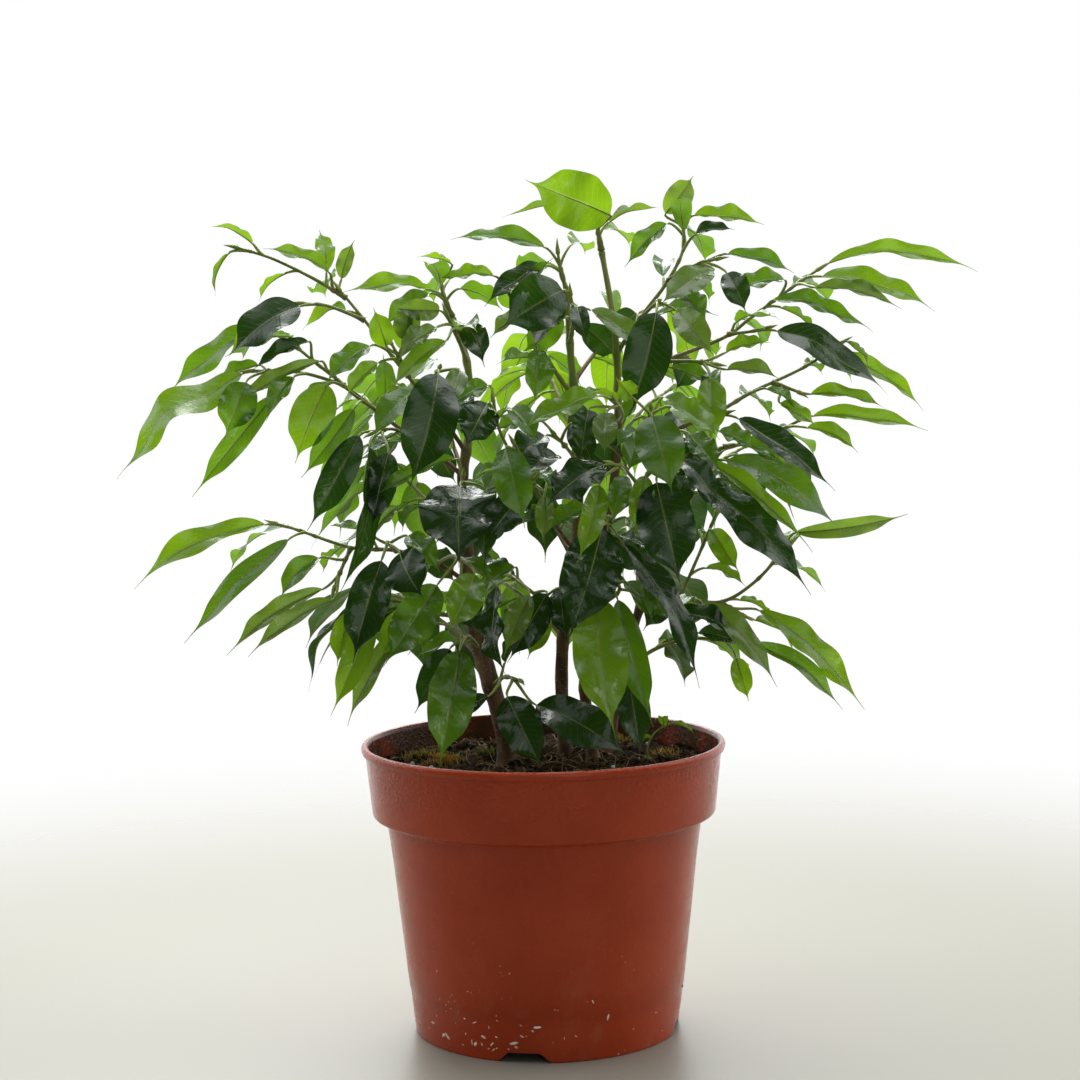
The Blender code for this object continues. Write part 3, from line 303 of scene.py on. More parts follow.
def turned_rows(profile, steps):
    """Rows of points for a profile of (radius, height) turned about the pot's axis."""
    angles = [math.tau * i / steps for i in range(steps)]
    return [[Vector((r * math.cos(a), r * math.sin(a), z)) for a in angles] for r, z in profile]


print("a skin holds", sorted(vars(Skin())))

# %% [markdown]
# ## The pot
# A nursery pot is one thin moulded shell: a wide collar with a rolled lip, a step, a body that narrows to a
# foot ring with four notches, and a raised floor with drain holes. It could be cut from solids, but it is
# turned on a lathe in the mould shop too, so here a profile with rounded corners is turned about the axis.
# The sizes come from the solid's own box and from the design's values.

# %% Pot sizes
_, pot_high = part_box("pot")
POT_RADIUS = pot_high.x / MM
POT_HEIGHT = pot_high.z / MM
FOOT_RADIUS = 47.5
WALL = 1.2
LIP_WIDTH = 1.6
LIP_HEIGHT = 3.0
COLLAR_HEIGHT = 25.0
COLLAR_TAPER = 2.3
STEP_WIDTH = 5.2
STEP_HEIGHT = 1.6
FLOOR_HEIGHT = 4.0
PAD_RADIUS = 11.0
NOTCH_WIDTH = 18.0
NOTCH_HEIGHT = 3.2
NOTCH_TURN = math.radians(10)
POT_STEPS = 192

COLLAR_RADIUS = POT_RADIUS - LIP_WIDTH
COLLAR_FOOT = COLLAR_RADIUS - COLLAR_TAPER
BODY_RADIUS = COLLAR_FOOT - STEP_WIDTH
STEP_AT = POT_HEIGHT - COLLAR_HEIGHT
print("pot:", round(2 * POT_RADIUS), "mm wide,", round(POT_HEIGHT), "mm high")

# %% [markdown]
# The profile runs from the middle of the floor up the inside, over the lip, and down the outside to the foot.
# A low ridge runs round the wall near the foot, as moulded pots have.

# %% Pot profile
def body_radius(height):
    """Outer radius of the body below the step."""
    return FOOT_RADIUS + (BODY_RADIUS - FOOT_RADIUS) * height / (STEP_AT - STEP_HEIGHT)


def rounded(corners, bend_steps=4):
    """A profile whose corners (radius, height, rounding) are replaced by short bends."""
    made = []
    for i, (r, z, rounding) in enumerate(corners):
        corner = Vector((r, z))
        if rounding == 0 or i in (0, len(corners) - 1):
            made.append((r, z))
            continue
        before = Vector(corners[i - 1][:2]) - corner
        after = Vector(corners[i + 1][:2]) - corner
        start = corner + before.normalized() * min(rounding, before.length / 2)
        end = corner + after.normalized() * min(rounding, after.length / 2)
        for j in range(bend_steps + 1):
            t = j / bend_steps
            made.append(tuple(start * (1 - t) ** 2 + corner * 2 * t * (1 - t) + end * t**2))
    return made


RIDGE_AT = 16.0
RIDGE_DEPTH = 0.25
skirt = body_radius(FLOOR_HEIGHT)
foot_rings = [(body_radius(z), z, 0) for z in (64, 50, 38, 26, RIDGE_AT + 0.3)]
foot_rings += [(body_radius(z) - RIDGE_DEPTH, z, 0) for z in (RIDGE_AT - 0.3, 12, 9, 6, 4, 2.4, 1.2)]
corners = [
    (0, FLOOR_HEIGHT + WALL, 0),
    (skirt - WALL, FLOOR_HEIGHT + WALL, 2),
    (BODY_RADIUS - WALL, STEP_AT - STEP_HEIGHT, 1),
    (COLLAR_FOOT - WALL, STEP_AT + WALL, 1),
    (COLLAR_RADIUS - WALL, POT_HEIGHT - 1.2, 0.5),
    (COLLAR_RADIUS - 0.5, POT_HEIGHT, 0.5),
    (POT_RADIUS - 0.6, POT_HEIGHT, 0.7),
    (POT_RADIUS, POT_HEIGHT - 1.3, 0.8),
    (POT_RADIUS - 0.6, POT_HEIGHT - LIP_HEIGHT, 0.5),
    (COLLAR_RADIUS, POT_HEIGHT - LIP_HEIGHT - 0.3, 0.4),
    (COLLAR_FOOT, STEP_AT, 0.8),
    (BODY_RADIUS + 0.4, STEP_AT - STEP_HEIGHT, 0.8),
    *foot_rings,
    (FOOT_RADIUS - RIDGE_DEPTH, 0, 0.5),
    (FOOT_RADIUS - WALL - RIDGE_DEPTH, 0, 0.4),
    (skirt - 2 * WALL, FLOOR_HEIGHT, 0.8),
    (PAD_RADIUS + 3, FLOOR_HEIGHT, 0),
    (PAD_RADIUS, FLOOR_HEIGHT, 0.6),
    (PAD_RADIUS, 0, 0.6),
    (0, 0, 0),
]
pot_profile = [(max(r, 0.01), z) for r, z in reversed(rounded(corners))]
print("pot profile:", len(pot_profile), "rings")

# %% [markdown]
# The notches are pressed into the foot ring. Cutting them would leave sharp, uneven faces, so the foot's
# points are lifted instead, most at the bottom edge and not at all 9 mm up. The drain holes go right through
# the floor, and those are cut.

# %% Pot mesh
NOTCH_REACH = 9.0
DRAIN_COUNT = 8
DRAIN_RADIUS = 4.0
DRAIN_CIRCLE = 30.0


def notch_at(angle):
    """How high the foot's edge is lifted at this angle."""
    quarter = math.tau / 4
    off = (angle + math.pi / 2 + NOTCH_TURN + quarter / 2) % quarter - quarter / 2
    along = abs(off) * FOOT_RADIUS
    return max(0.0, min(NOTCH_HEIGHT, NOTCH_WIDTH / 2 - along))


pot_skin = Skin()
pot_rows = turned_rows(pot_profile, POT_STEPS)
for row in pot_rows:
    for p in row:
        if math.hypot(p.x, p.y) > FOOT_RADIUS - 3 and p.z < NOTCH_REACH:
            p.z += notch_at(math.atan2(p.y, p.x)) * (1 - p.z / NOTCH_REACH)
pot_skin.rows(pot_rows, [(0, 0, 0)] * (len(pot_rows) * POT_STEPS), closed=True)
pot_skin.lid(0, POT_STEPS, flip=True)
pot_skin.lid(len(pot_skin.points) - POT_STEPS, POT_STEPS)
print("pot skin:", len(pot_skin.points), "points")

# %% [markdown]
# ## Pot plastic
# The pot is smooth moulded plastic, terracotta red in softly differing patches. Its lower half carries pale
# dust that dulls the shine, the collar has a fine grain of dried drops, and the inside of the rim is darker
# in patches. All of this is colour, roughness and a shallow bump in the finish. Only the grit that stands
# off the wall is modelled.

# %% Pot plastic
plastic = finish("pot_plastic")
where = node(plastic, "TexCoord", {}).outputs["Object"]
height = node(plastic, "SeparateXYZ", {0: where}).outputs["Z"]
patches = between(plastic, cloud(plastic, 34.0, 4), 0.35, 0.65)
smears = between(plastic, cloud(plastic, 110.0, 6, (1, 1, 0.6)), 0.52, 0.75)
low_half = between(plastic, height, 0.055, 0.0)
dustiness = calc(plastic, "ADD", calc(plastic, "MULTIPLY", low_half, 0.12), 0.03)
dust = calc(plastic, "MULTIPLY", smears, dustiness)
grains = node(plastic, "TexVoronoi", {"Vector": where, "Scale": 520.0}).outputs["Distance"]
speckled = between(plastic, cloud(plastic, 95.0), 0.58, 0.66)
specks = calc(plastic, "MULTIPLY", between(plastic, grains, 0.2, 0.1), speckled)
specks = calc(plastic, "MULTIPLY", specks, low_half)
red = blend(plastic, patches, (0.370, 0.041, 0.0085), (0.415, 0.050, 0.0115))
red = blend(plastic, dust, red, (0.50, 0.27, 0.18))
# inside the rim the red is darkened towards dark brown, in patches
inside_patches = between(plastic, cloud(plastic, 75.0, 6, (1, 1, 0.7)), 0.36, 0.58, 0.25, 0.95)
darker_inside = calc(plastic, "MULTIPLY", stored(plastic), inside_patches)
red = blend(plastic, darker_inside, red, (0.075, 0.035, 0.014))
red = blend(plastic, specks, red, (0.72, 0.52, 0.44))
scuffs = between(plastic, cloud(plastic, 150.0, 4), 0.4, 0.7, 0.20, 0.30)
roughness = calc(plastic, "ADD", scuffs, calc(plastic, "MULTIPLY", dust, 0.4))
on_collar = between(plastic, height, 0.078, 0.094)
misty = calc(plastic, "MULTIPLY", on_collar, between(plastic, cloud(plastic, 60.0, 3), 0.3, 0.6))
beads = calc(plastic, "MULTIPLY", misty, between(plastic, cloud(plastic, 850.0, 3), 0.48, 0.70))
grain = calc(plastic, "ADD", beads, calc(plastic, "MULTIPLY", cloud(plastic, 700.0, 2), 0.5))
paint(plastic, surface(plastic, red, roughness, relief(plastic, grain, 0.00015), 0.27))
print("pot finish:", len(plastic.node_tree.nodes), "nodes")

# %% [markdown]
# The drain holes are cut last, because the cut needs the finished shell. Each point then notes whether it is
# inside the rim, where the finish darkens it in patches.

# %% Drain holes and the finished pot


def cut(piece, cutter):
    """Takes the cutter out of the piece, and keeps the result as the piece's own mesh."""
    step = piece.modifiers.new("cut", "BOOLEAN")
    step.operation = "DIFFERENCE"
    step.object = cutter
    shown = piece.evaluated_get(bpy.context.evaluated_depsgraph_get())
    piece.data = bpy.data.meshes.new_from_object(shown)
    piece.modifiers.clear()
    bpy.data.objects.remove(cutter)


drains = bmesh.new()
for i in range(DRAIN_COUNT):
    angle = math.tau * (i + 0.5) / DRAIN_COUNT
    x, y = math.cos(angle) * DRAIN_CIRCLE, math.sin(angle) * DRAIN_CIRCLE
    middle = Vector((x, y, FLOOR_HEIGHT + WALL / 2)) * MM
    sizes = {"radius1": DRAIN_RADIUS * MM, "radius2": DRAIN_RADIUS * MM, "depth": 4 * WALL * MM}
    bmesh.ops.create_cone(drains, cap_ends=True, segments=24, matrix=Matrix.Translation(middle), **sizes)
drain_mesh = bpy.data.meshes.new("drains")
drains.to_mesh(drain_mesh)
drains.free()
drain_cutter = bpy.data.objects.new("drains", drain_mesh)
bpy.context.collection.objects.link(drain_cutter)

pot = pot_skin.piece("pot_shell", [plastic], "pot_plastic", "pot")
cut(pot, drain_cutter)
pot_places = []
for vert in pot.data.vertices:
    x, y, z = vert.co / MM
    share = (z - STEP_AT) / COLLAR_HEIGHT
    outer = COLLAR_FOOT + COLLAR_TAPER * share if share > 0 else body_radius(z)
    pot_places.append((0, 0, float(math.hypot(x, y) < outer - WALL / 2 and z < POT_HEIGHT - 0.4)))
pot.data.attributes["place"].data.foreach_set("vector", np.array(pot_places, dtype=np.float32).ravel())
pot.data.set_sharp_from_angle(angle=math.radians(40))
print("pot shell:", len(pot.data.polygons), "faces")

# %% [markdown]
# ## Pebbles
# Soil crumbs, white perlite and the grit on the pot are all small lumps. Each starts from a ball of facets,
# pushed in and out by noise, then stretched and turned, so that no two are alike.

# %% Pebbles
ball = bmesh.new()
bmesh.ops.create_icosphere(ball, subdivisions=2, radius=1.0)
BALL_POINTS = [v.co.copy() for v in ball.verts]
BALL_FACES = [tuple(v.index for v in f.verts) for f in ball.faces]
ball.free()
random = np.random.default_rng(11)


def pebble(skin, middle, size, stretch, turn, tone, look=0, roughness=0.4):
    shift = Vector(random.uniform(-50, 50, 3))
    points = []
    for p in BALL_POINTS:
        lump = 1 + roughness * noise(p * 1.6 + shift) + roughness * 0.4 * noise(p * 4 + shift)
        q = Vector((p.x * stretch[0], p.y * stretch[1], p.z * stretch[2])) * lump * size
        points.append(middle + turn @ q)
    skin.solid(points, BALL_FACES, (0, 0, tone), look)


def any_turn():
    return Quaternion(Vector(random.normal(0, 1, 4))).normalized()


print("pebble:", len(BALL_FACES), "facets")

# %% [markdown]
# ## Grit on the pot
# Splashed sand sticks to the lower half of the wall, thickest near the foot and on the left of the front.

# %% Grit
grit_look = finish("grit")
grit_color = blend(grit_look, stored(grit_look), (0.72, 0.45, 0.33), (1.0, 0.92, 0.82))
grit_dirt = between(grit_look, cloud(grit_look, 900.0), 0.4, 0.6, 0.0, 0.3)
grit_color = blend(grit_look, grit_dirt, grit_color, (0.3, 0.12, 0.07))
paint(grit_look, surface(grit_look, grit_color, 0.7))

GRIT_COUNT = 130
grit = Skin()
for i in range(GRIT_COUNT):
    z = 4 + 40 * random.uniform(0, 1) ** 1.6
    angle = random.normal(-2.35, 0.6) if i % 3 else random.uniform(0, math.tau)
    out = Vector((math.cos(angle), math.sin(angle), 0))
    lean = Quaternion(UP, angle) @ Quaternion((1, 0, 0), random.uniform(0, math.pi))
    size = 0.24 + 0.40 * random.uniform(0, 1) ** 2
    length = random.uniform(1.0, 2.6)
    spot = out * (body_radius(z) - RIDGE_DEPTH) + UP * z
    pebble(grit, spot, size, (0.5, 0.8, length), lean, random.uniform(0, 1))
grit.piece("pot_grit", [grit_look], "pot_plastic")
print("grit:", GRIT_COUNT, "grains")

# %% [markdown]
# ## The soil
# The root ball fills the pot to 9 mm below its lip. Its top is damp peat: a low dome with clods, loose
# crumbs, root hairs, bits of bark, white perlite, and moss where it stays wet. A bump map alone would leave a
# smooth edge against the pot, so the clods are real geometry and the crumbs are separate lumps.

# %% Soil surface
SOIL_TOP = 94.0
SOIL_DOME = 2.4


def inner_radius(height):
    """Radius of the collar's inside at a height."""
    share = (height - STEP_AT - WALL) / (COLLAR_HEIGHT - WALL - 1.2)
    return COLLAR_FOOT - WALL + COLLAR_TAPER * share


SOIL_RADIUS = inner_radius(SOIL_TOP) - 0.2


def dome(x, y):
    """The solid's own top: a low dome with a few broad lumps."""
    share = max(0.0, 1 - (x * x + y * y) / SOIL_RADIUS**2)
    lump = math.sin(0.31 * x + 0.4) * math.cos(0.27 * y) + 0.6 * math.sin(0.17 * x - 0.36 * y)
    return SOIL_TOP + SOIL_DOME * share + lump * min(1.0, 3 * share)


def soil_at(x, y):
    where = Vector((x, y, 5))
    clods = noise(where * 0.13) * 1.6 + noise(where * 0.31) * 1.0
    return dome(x, y) + clods + noise(where * 0.8) * 0.5 + noise(where * 1.9) * 0.25


SOIL_RINGS = 74
SOIL_STEPS = 180
soil = Skin()
rows = []
for i in range(SOIL_RINGS + 1):
    radius = max(0.05, SOIL_RADIUS * i / SOIL_RINGS)
    angles = [-math.tau * j / SOIL_STEPS for j in range(SOIL_STEPS)]
    spots = [(radius * math.cos(a), radius * math.sin(a)) for a in angles]
    rows.append([Vector((x, y, soil_at(x, y))) for x, y in spots])
side = [
    (inner_radius(STEP_AT + WALL) - 0.6, STEP_AT + WALL + 0.3),
    (BODY_RADIUS - WALL - 0.6, STEP_AT - STEP_HEIGHT + 0.3),
    (skirt - WALL - 0.6, FLOOR_HEIGHT + WALL + 0.3),
    (0.05, FLOOR_HEIGHT + WALL + 0.3),
]
for radius, z in side:
    rows.append([Vector((radius * math.cos(a), radius * math.sin(a), z)) for a in angles])
soil.rows(rows, [(0, 0, 0)] * (len(rows) * SOIL_STEPS), closed=True)
soil.lid(0, SOIL_STEPS, flip=True)
soil.lid(len(soil.points) - SOIL_STEPS, SOIL_STEPS)
top = [p.z for p in soil.points[: SOIL_RINGS * SOIL_STEPS]]
print("soil: top between", round(min(top), 1), "and", round(max(top), 1), "mm")

# %% [markdown]
# Damp peat is dark, with lighter dry grains and almost no shine. Crumbs, bark chips and perlite share its
# pattern in other colours, so the finish is a function of its dark and light colours.

# %% Soil finish
def earth(name, dark, light, roughness):
    look = finish(name)
    grains = between(look, cloud(look, 620.0, 6), 0.42, 0.68)
    mixed = calc(look, "ADD", grains, calc(look, "MULTIPLY", stored(look), 0.55))
    color = blend(look, mixed, dark, light)
    color = blend(look, between(look, cloud(look, 1900.0, 2), 0.62, 0.7, 0, 0.5), color, (0.30, 0.20, 0.11))
    return paint(look, surface(look, color, roughness, relief(look, cloud(look, 1100.0, 5), 0.0009), 0.03))


peat = earth("peat", (0.007, 0.004, 0.0025), (0.060, 0.034, 0.018), 0.85)
soil.piece("soil_surface", [peat], "soil", "soil")
print("soil surface:", len(soil.faces), "faces")

# %% [markdown]
# Crumbs are scattered evenly over the top, each half sunk. Most are dark peat, some are flat chips of bark,
# and a few are white perlite.

# %% Crumbs, chips and perlite
def scatter(count, edge=1.5):
    """Random spots on the soil."""
    for _ in range(count):
        angle = random.uniform(0, math.tau)
        radius = (SOIL_RADIUS - edge) * math.sqrt(random.uniform(0, 1))
        x, y = radius * math.cos(angle), radius * math.sin(angle)
        yield Vector((x, y, soil_at(x, y)))


crumb_look = earth("crumbs", (0.012, 0.007, 0.004), (0.12, 0.070, 0.036), 0.8)
chip_look = earth("bark_chips", (0.045, 0.020, 0.009), (0.20, 0.095, 0.040), 0.7)
perlite_look = earth("perlite", (0.62, 0.58, 0.50), (0.88, 0.86, 0.80), 0.9)
CRUMB_COUNT = 620
CHIP_COUNT = 70
PERLITE_COUNT = 12
crumbs = Skin()
for spot in scatter(CRUMB_COUNT):
    size = 0.45 + 1.3 * random.uniform(0, 1) ** 3
    stretch = random.uniform(0.7, 1.3, 3)
    pebble(crumbs, spot + UP * size * 0.3, size, stretch, any_turn(), random.uniform(0, 1), 0, 0.55)
for spot in scatter(CHIP_COUNT, 4):
    turn = Quaternion(UP, random.uniform(0, math.tau)) @ Quaternion((1, 0, 0), random.normal(0, 0.35))
    stretch = (random.uniform(1.5, 3.2), random.uniform(0.6, 1.1), 0.22)
    pebble(crumbs, spot + UP * 0.5, random.uniform(0.7, 1.4), stretch, turn, random.uniform(0, 1), 1, 0.3)
for spot in scatter(PERLITE_COUNT, 4):
    pebble(crumbs, spot + UP * 0.4, random.uniform(0.5, 1.1), (1, 1, 0.9), any_turn(), 0.8, 2, 0.3)
crumbs.piece("soil_crumbs", [crumb_look, chip_look, perlite_look], "soil")
print("crumbs:", CRUMB_COUNT + CHIP_COUNT + PERLITE_COUNT)

# %% [markdown]
# ## Rods
# Root hairs, twigs, leaf stalks and stems are all round rods along a smooth path. The path is drawn as a
# curve through a few points. Rings follow it without twisting, and each ring has its own radius, so that a
# rod can swell where a leaf stands and taper to a point.

# %% Paths and rods
def smooth(points, spacing):
    """A smooth path through the points, with a point about every so many millimetres."""
    made = []
    for i in range(len(points) - 1):
        a, b = points[i], points[i + 1]
        before, after = points[max(i - 1, 0)], points[min(i + 2, len(points) - 1)]
        steps = max(2, round((b - a).length / spacing))
        for j in range(steps):
            t = j / steps
            made.append(
                a * (2 * t**3 - 3 * t**2 + 1)
                + (b - before) * 0.5 * (t**3 - 2 * t**2 + t)
                + b * (3 * t**2 - 2 * t**3)
                + (after - a) * 0.5 * (t**3 - t**2)
            )
    made.append(points[-1].copy())
    return made


def headings_of(points):
    ends = zip([points[0], *points[:-1]], [*points[1:], points[-1]])
    return [(b - a).normalized() for a, b in ends]


def runs_of(points):
    """How far along the path each of its points is."""
    runs = [0.0]
    for a, b in zip(points, points[1:]):
        runs.append(runs[-1] + (b - a).length)
    return runs


def rod(skin, points, radii, sides, tones, look=0, bark=0.0):
    """A round rod. bark is how far its skin goes in and out, as a share of its radius."""
    headings = headings_of(points)
    runs = runs_of(points)
    across = headings[0].orthogonal()
    rows = []
    places = []
    for point, heading, radius, run, tone in zip(points, headings, radii, runs, tones):
        across = (across - heading * across.dot(heading)).normalized()
        other = heading.cross(across)
        row = []
        for j in range(sides):
            angle = math.tau * j / sides
            way = across * math.cos(angle) + other * math.sin(angle)
            reach = radius
            if bark:
                spot = way * 1.3 + point * 0.12
                reach *= 1 + bark * (noise(spot) + 0.5 * noise(way * 3.5 + point * 0.45))
            row.append(point + way * reach)
        rows.append(row)
        places += [(0.0, run, tone)] * sides
    first = len(skin.points)
    skin.rows(rows, places, look, closed=True)
    skin.lid(first, sides, look, flip=True)
    skin.lid(len(skin.points) - sides, sides, look)


bend = smooth([Vector((0, 0, 0)), Vector((10, 0, 0)), Vector((10, 10, 0))], 1.0)
print("a bend through three points, 10 mm apart, is", round(runs_of(bend)[-1], 1), "mm long")

# %% [markdown]
# Root hairs and dead fibres lie over the crumbs in shallow loops, pale tan to brown.

# %% Fibres
fibre_look = finish("fibres")
fibre_color = blend(fibre_look, stored(fibre_look), (0.09, 0.05, 0.025), (0.58, 0.42, 0.22))
fibre_stain = between(fibre_look, cloud(fibre_look, 500.0), 0.4, 0.6, 0, 0.6)
fibre_color = blend(fibre_look, fibre_stain, fibre_color, (0.09, 0.05, 0.03))
paint(fibre_look, surface(fibre_look, fibre_color, 0.75, shine=0.1))

FIBRE_COUNT = 300
fibres = Skin()
for spot in scatter(FIBRE_COUNT, 9):
    angle = random.uniform(0, math.tau)
    rise = random.uniform(0.2, 1.0)
    step = random.uniform(1.5, 3.2)
    points = []
    for j in range(6):
        lift = rise * math.sin(math.pi * j / 5) * (2.2 if random.uniform() > 0.8 else 1.0)
        points.append(Vector((spot.x, spot.y, soil_at(spot.x, spot.y) + 0.25 + lift)))
        angle += random.normal(0, 0.55)
        spot = spot + Vector((math.cos(angle), math.sin(angle), 0)) * step
        reach = math.hypot(spot.x, spot.y)
        if reach > SOIL_RADIUS - 0.6:
            spot = spot * (SOIL_RADIUS - 0.6) / reach
    path = smooth(points, 0.9)
    thick = random.uniform(0.10, 0.28)
    radii = [thick * (1 - 0.7 * i / len(path)) for i in range(len(path))]
    rod(fibres, path, radii, 5, [random.uniform(0, 1) ** 1.5] * len(path))
fibres.piece("soil_fibres", [fibre_look], "soil")
print("fibres:", FIBRE_COUNT)

# %% [markdown]
# Moss grows in cushions near the rim, yellow-green while it is wet and nearly orange where it has dried. A
# cushion is many short pointed leaves standing every way.

# %% Moss
moss_look = finish("moss")
moss_color = blend(moss_look, stored(moss_look), (0.20, 0.26, 0.02), (0.62, 0.34, 0.03))
moss_depth = between(moss_look, cloud(moss_look, 300.0), 0.45, 0.7, 0.0, 0.8)
moss_color = blend(moss_look, moss_depth, moss_color, (0.07, 0.10, 0.012))
paint(moss_look, surface(moss_look, moss_color, 0.6))

# each cushion's middle, its reach, its number of leaves and how dry it is
CUSHIONS = (
    ((-35, -3), 6.0, 190, 0.95),
    ((-20, 6), 4.0, 90, 0.15),
    ((-44, 14), 7.0, 130, 0.45),
    ((30, 44), 6.0, 90, 0.5),
    ((44, 6), 5.0, 90, 0.75),
    ((-12, -46), 5.0, 90, 0.2),
)
moss = Skin()
for (x0, y0), reach, count, dry in CUSHIONS:
    for _ in range(count):
        x, y = x0 + random.normal(0, reach / 2), y0 + random.normal(0, reach / 2)
        foot = Vector((x, y, soil_at(x, y) - 0.3))
        if math.hypot(x, y) > SOIL_RADIUS - 2:
            continue
        lean = Vector((random.normal(0, 0.5), random.normal(0, 0.5), 1)).normalized()
        length = random.uniform(1.4, 3.2)
        path = [foot + lean * length * t + UP * 0.25 * length * t * t for t in (0, 0.35, 0.7, 1)]
        rod(moss, path, (0.18, 0.24, 0.16, 0.03), 4, [dry + random.normal(0, 0.15)] * 4)
moss.piece("moss", [moss_look], "soil")
print("moss cushions:", len(CUSHIONS))

# %% [markdown]
# ## The plan of the plant
# The design lays the plant out, and this lesson repeats it, because the fine surfaces need the paths
# that the solids were built on. First come the four stems: points along the axis, each with its radius.

# %% Stems of the plan
STEMS = (
    (((-12, -8, 94), 3.6), ((-14, -9, 110), 3.4), ((-19, -9, 128), 3.1), ((-24, -8, 148), 2.7),
     ((-26, -4, 172), 2.2), ((-27, 0, 196), 1.8), ((-24, 6, 218), 1.4), ((-25, 8, 238), 1.2),
     ((-30, 10, 254), 1.0)),
    (((8, 12, 94), 2.4), ((7, 11, 120), 2.3), ((8, 9, 140), 2.2), ((12, 7, 165), 2.0), ((14, 6, 190), 1.8),
     ((14, 6, 213), 1.6), ((12, 6, 238), 1.3), ((11, 6, 262), 1.0)),
    (((18, -4, 94), 2.0), ((15, -5, 124), 2.0), ((18, -7, 150), 1.9), ((23, -8, 176), 1.7),
     ((27, -9, 202), 1.5), ((28, -9, 226), 1.3), ((27, -7, 250), 1.1), ((23, -4, 276), 0.9)),
    (((24, 20, 94), 1.9), ((29, 22, 124), 1.8), ((37, 21, 150), 1.6), ((46, 17, 174), 1.4),
     ((54, 13, 194), 1.2), ((66, 10, 206), 1.0)),
)
print("stems planned:", len(STEMS))

# %% [markdown]
# A front branch is the paths of its wood, then its leaves. A leaf's row holds its blade's base, its tip, its
# width, the way it faces and its age. The letters are up, forward, left and right; with none, the blade
# faces up and outwards. A path's first point is near the stem or twig that it leaves.

# %% How a front branch is written
WAYS = {"U": UP, "F": Vector((0, -1, 0)), "L": Vector((-1, 0, 0)), "R": Vector((1, 0, 0))}
# the old leaves' finish is their own dark green, darkened further as painted shade
YOUNG, FULL, OLD_SHADED, PALE = "young", "full", "old", "pale"
AGES = (YOUNG, FULL, OLD_SHADED, PALE)
BRANCHES = []


def branch(*paths, leaves):
    """Takes down one front branch: its paths of wood, then its leaves."""
    BRANCHES.append((paths, leaves))


print("ages of leaf:", ", ".join(AGES))

# %% [markdown]
# Long branches reach to the upper left. Young leaves hang from their ends, and old ones nearer the stem.

# %% Front branches: upper left
branch(
    ((-27, 0, 198), (-37, 2, 206), (-48, 2, 214), (-60, 0, 224), (-76, -2, 237), (-86, 1, 245),
     (-93, 3, 249)),
    ((-68, -1, 230), (-82, -6, 235), (-98, -8, 236)),
    ((-56, 0, 220), (-64, -8, 227), (-70, -10, 233)),
    ((-45, 2, 212), (-51, -8, 215), (-57, -14, 214)),
    leaves=(
        (-91, -3, 248, -109, -6, 241, 8, "UF", YOUNG), (-97, 5, 251, -131, 8, 228, 11, "UF", FULL),
        (-80, -6, 246, -99, -12, 236, 6, "UF", OLD_SHADED), (-88, 8, 249, -108, 24, 238, 12, "", FULL),
        (-103, -9, 235, -147, -12, 199, 14, "UF", YOUNG), (-101, -14, 232, -108, -20, 213, 13, "F", FULL),
        (-98, -3, 238, -114, 4, 232, 6, "UF", FULL), (-92, -12, 227, -120, -18, 193, 8, "F", FULL),
        (-73, -14, 231, -84, -20, 204, 15, "F", YOUNG), (-76, -8, 239, -111, -10, 220, 6, "UF", PALE),
        (-64, -14, 222, -82, -20, 199, 8, "F", FULL), (-62, -17, 213, -80, -24, 181, 11, "F", OLD_SHADED),
        (-58, -21, 209, -70, -30, 158, 9, "FR", OLD_SHADED), (-53, -22, 207, -60, -28, 181, 11, "F", OLD_SHADED),
        (-46, 7, 212, -56, 24, 200, 11, "", OLD_SHADED), (-37, 7, 206, -30, 20, 194, 10, "", OLD_SHADED),
        (-62, 5, 226, -76, 21, 216, 11, "", FULL),
    ),
)
branch(
    ((-26, 3, 206), (-32, -4, 216), (-41, -8, 228), (-51, -8, 241), (-60, -6, 253), (-68, -5, 263)),
    ((-60, -6, 253), (-72, -9, 258), (-80, -10, 259)),
    ((-66, -5, 261), (-78, -3, 268), (-92, -2, 275), (-104, 0, 279)),
    ((-37, -6, 222), (-36, -22, 231), (-33, -36, 236)),
    ((-45, -8, 233), (-48, -12, 240), (-50, -13, 244)),
    leaves=(
        (-108, 0, 277, -112, -3, 262, 4, "", YOUNG), (-72, -8, 270, -94, -12, 278, 6, "UF", YOUNG),
        (-82, -12, 258, -106, -18, 241, 17, "UF", OLD_SHADED), (-68, -2, 268, -63, -4, 281, 5, "F", PALE),
        (-72, 2, 268, -76, 22, 262, 11, "", FULL), (-33, -43, 234, -43, -54, 196, 18, "F", OLD_SHADED),
        (-26, -37, 235, -31, -46, 222, 7, "F", PALE), (-41, -30, 229, -56, -42, 212, 10, "UF", FULL),
        (-52, -15, 244, -56, -18, 257, 8, "F", YOUNG), (-46, -10, 246, -44, -8, 259, 9, "F", PALE),
        (-55, -18, 238, -66, -25, 226, 6, "UF", YOUNG), (-37, -2, 230, -52, 6, 218, 10, "UF", FULL),
        (-29, -20, 228, -22, -34, 213, 10, "F", OLD_SHADED), (-58, -14, 244, -73, -22, 231, 9, "UF", FULL),
    ),
)
branch(
    ((-25, 8, 238), (-28, 0, 247), (-31, -5, 254)),
    leaves=(
        (-34, -6, 256, -50, -13, 257, 7, "F", PALE), (-36, -9, 250, -50, -18, 238, 7, "UF", PALE),
        (-33, -12, 246, -54, -24, 231, 7, "UF", YOUNG), (-24, -8, 250, -18, -22, 236, 9, "F", OLD_SHADED),
    ),
)
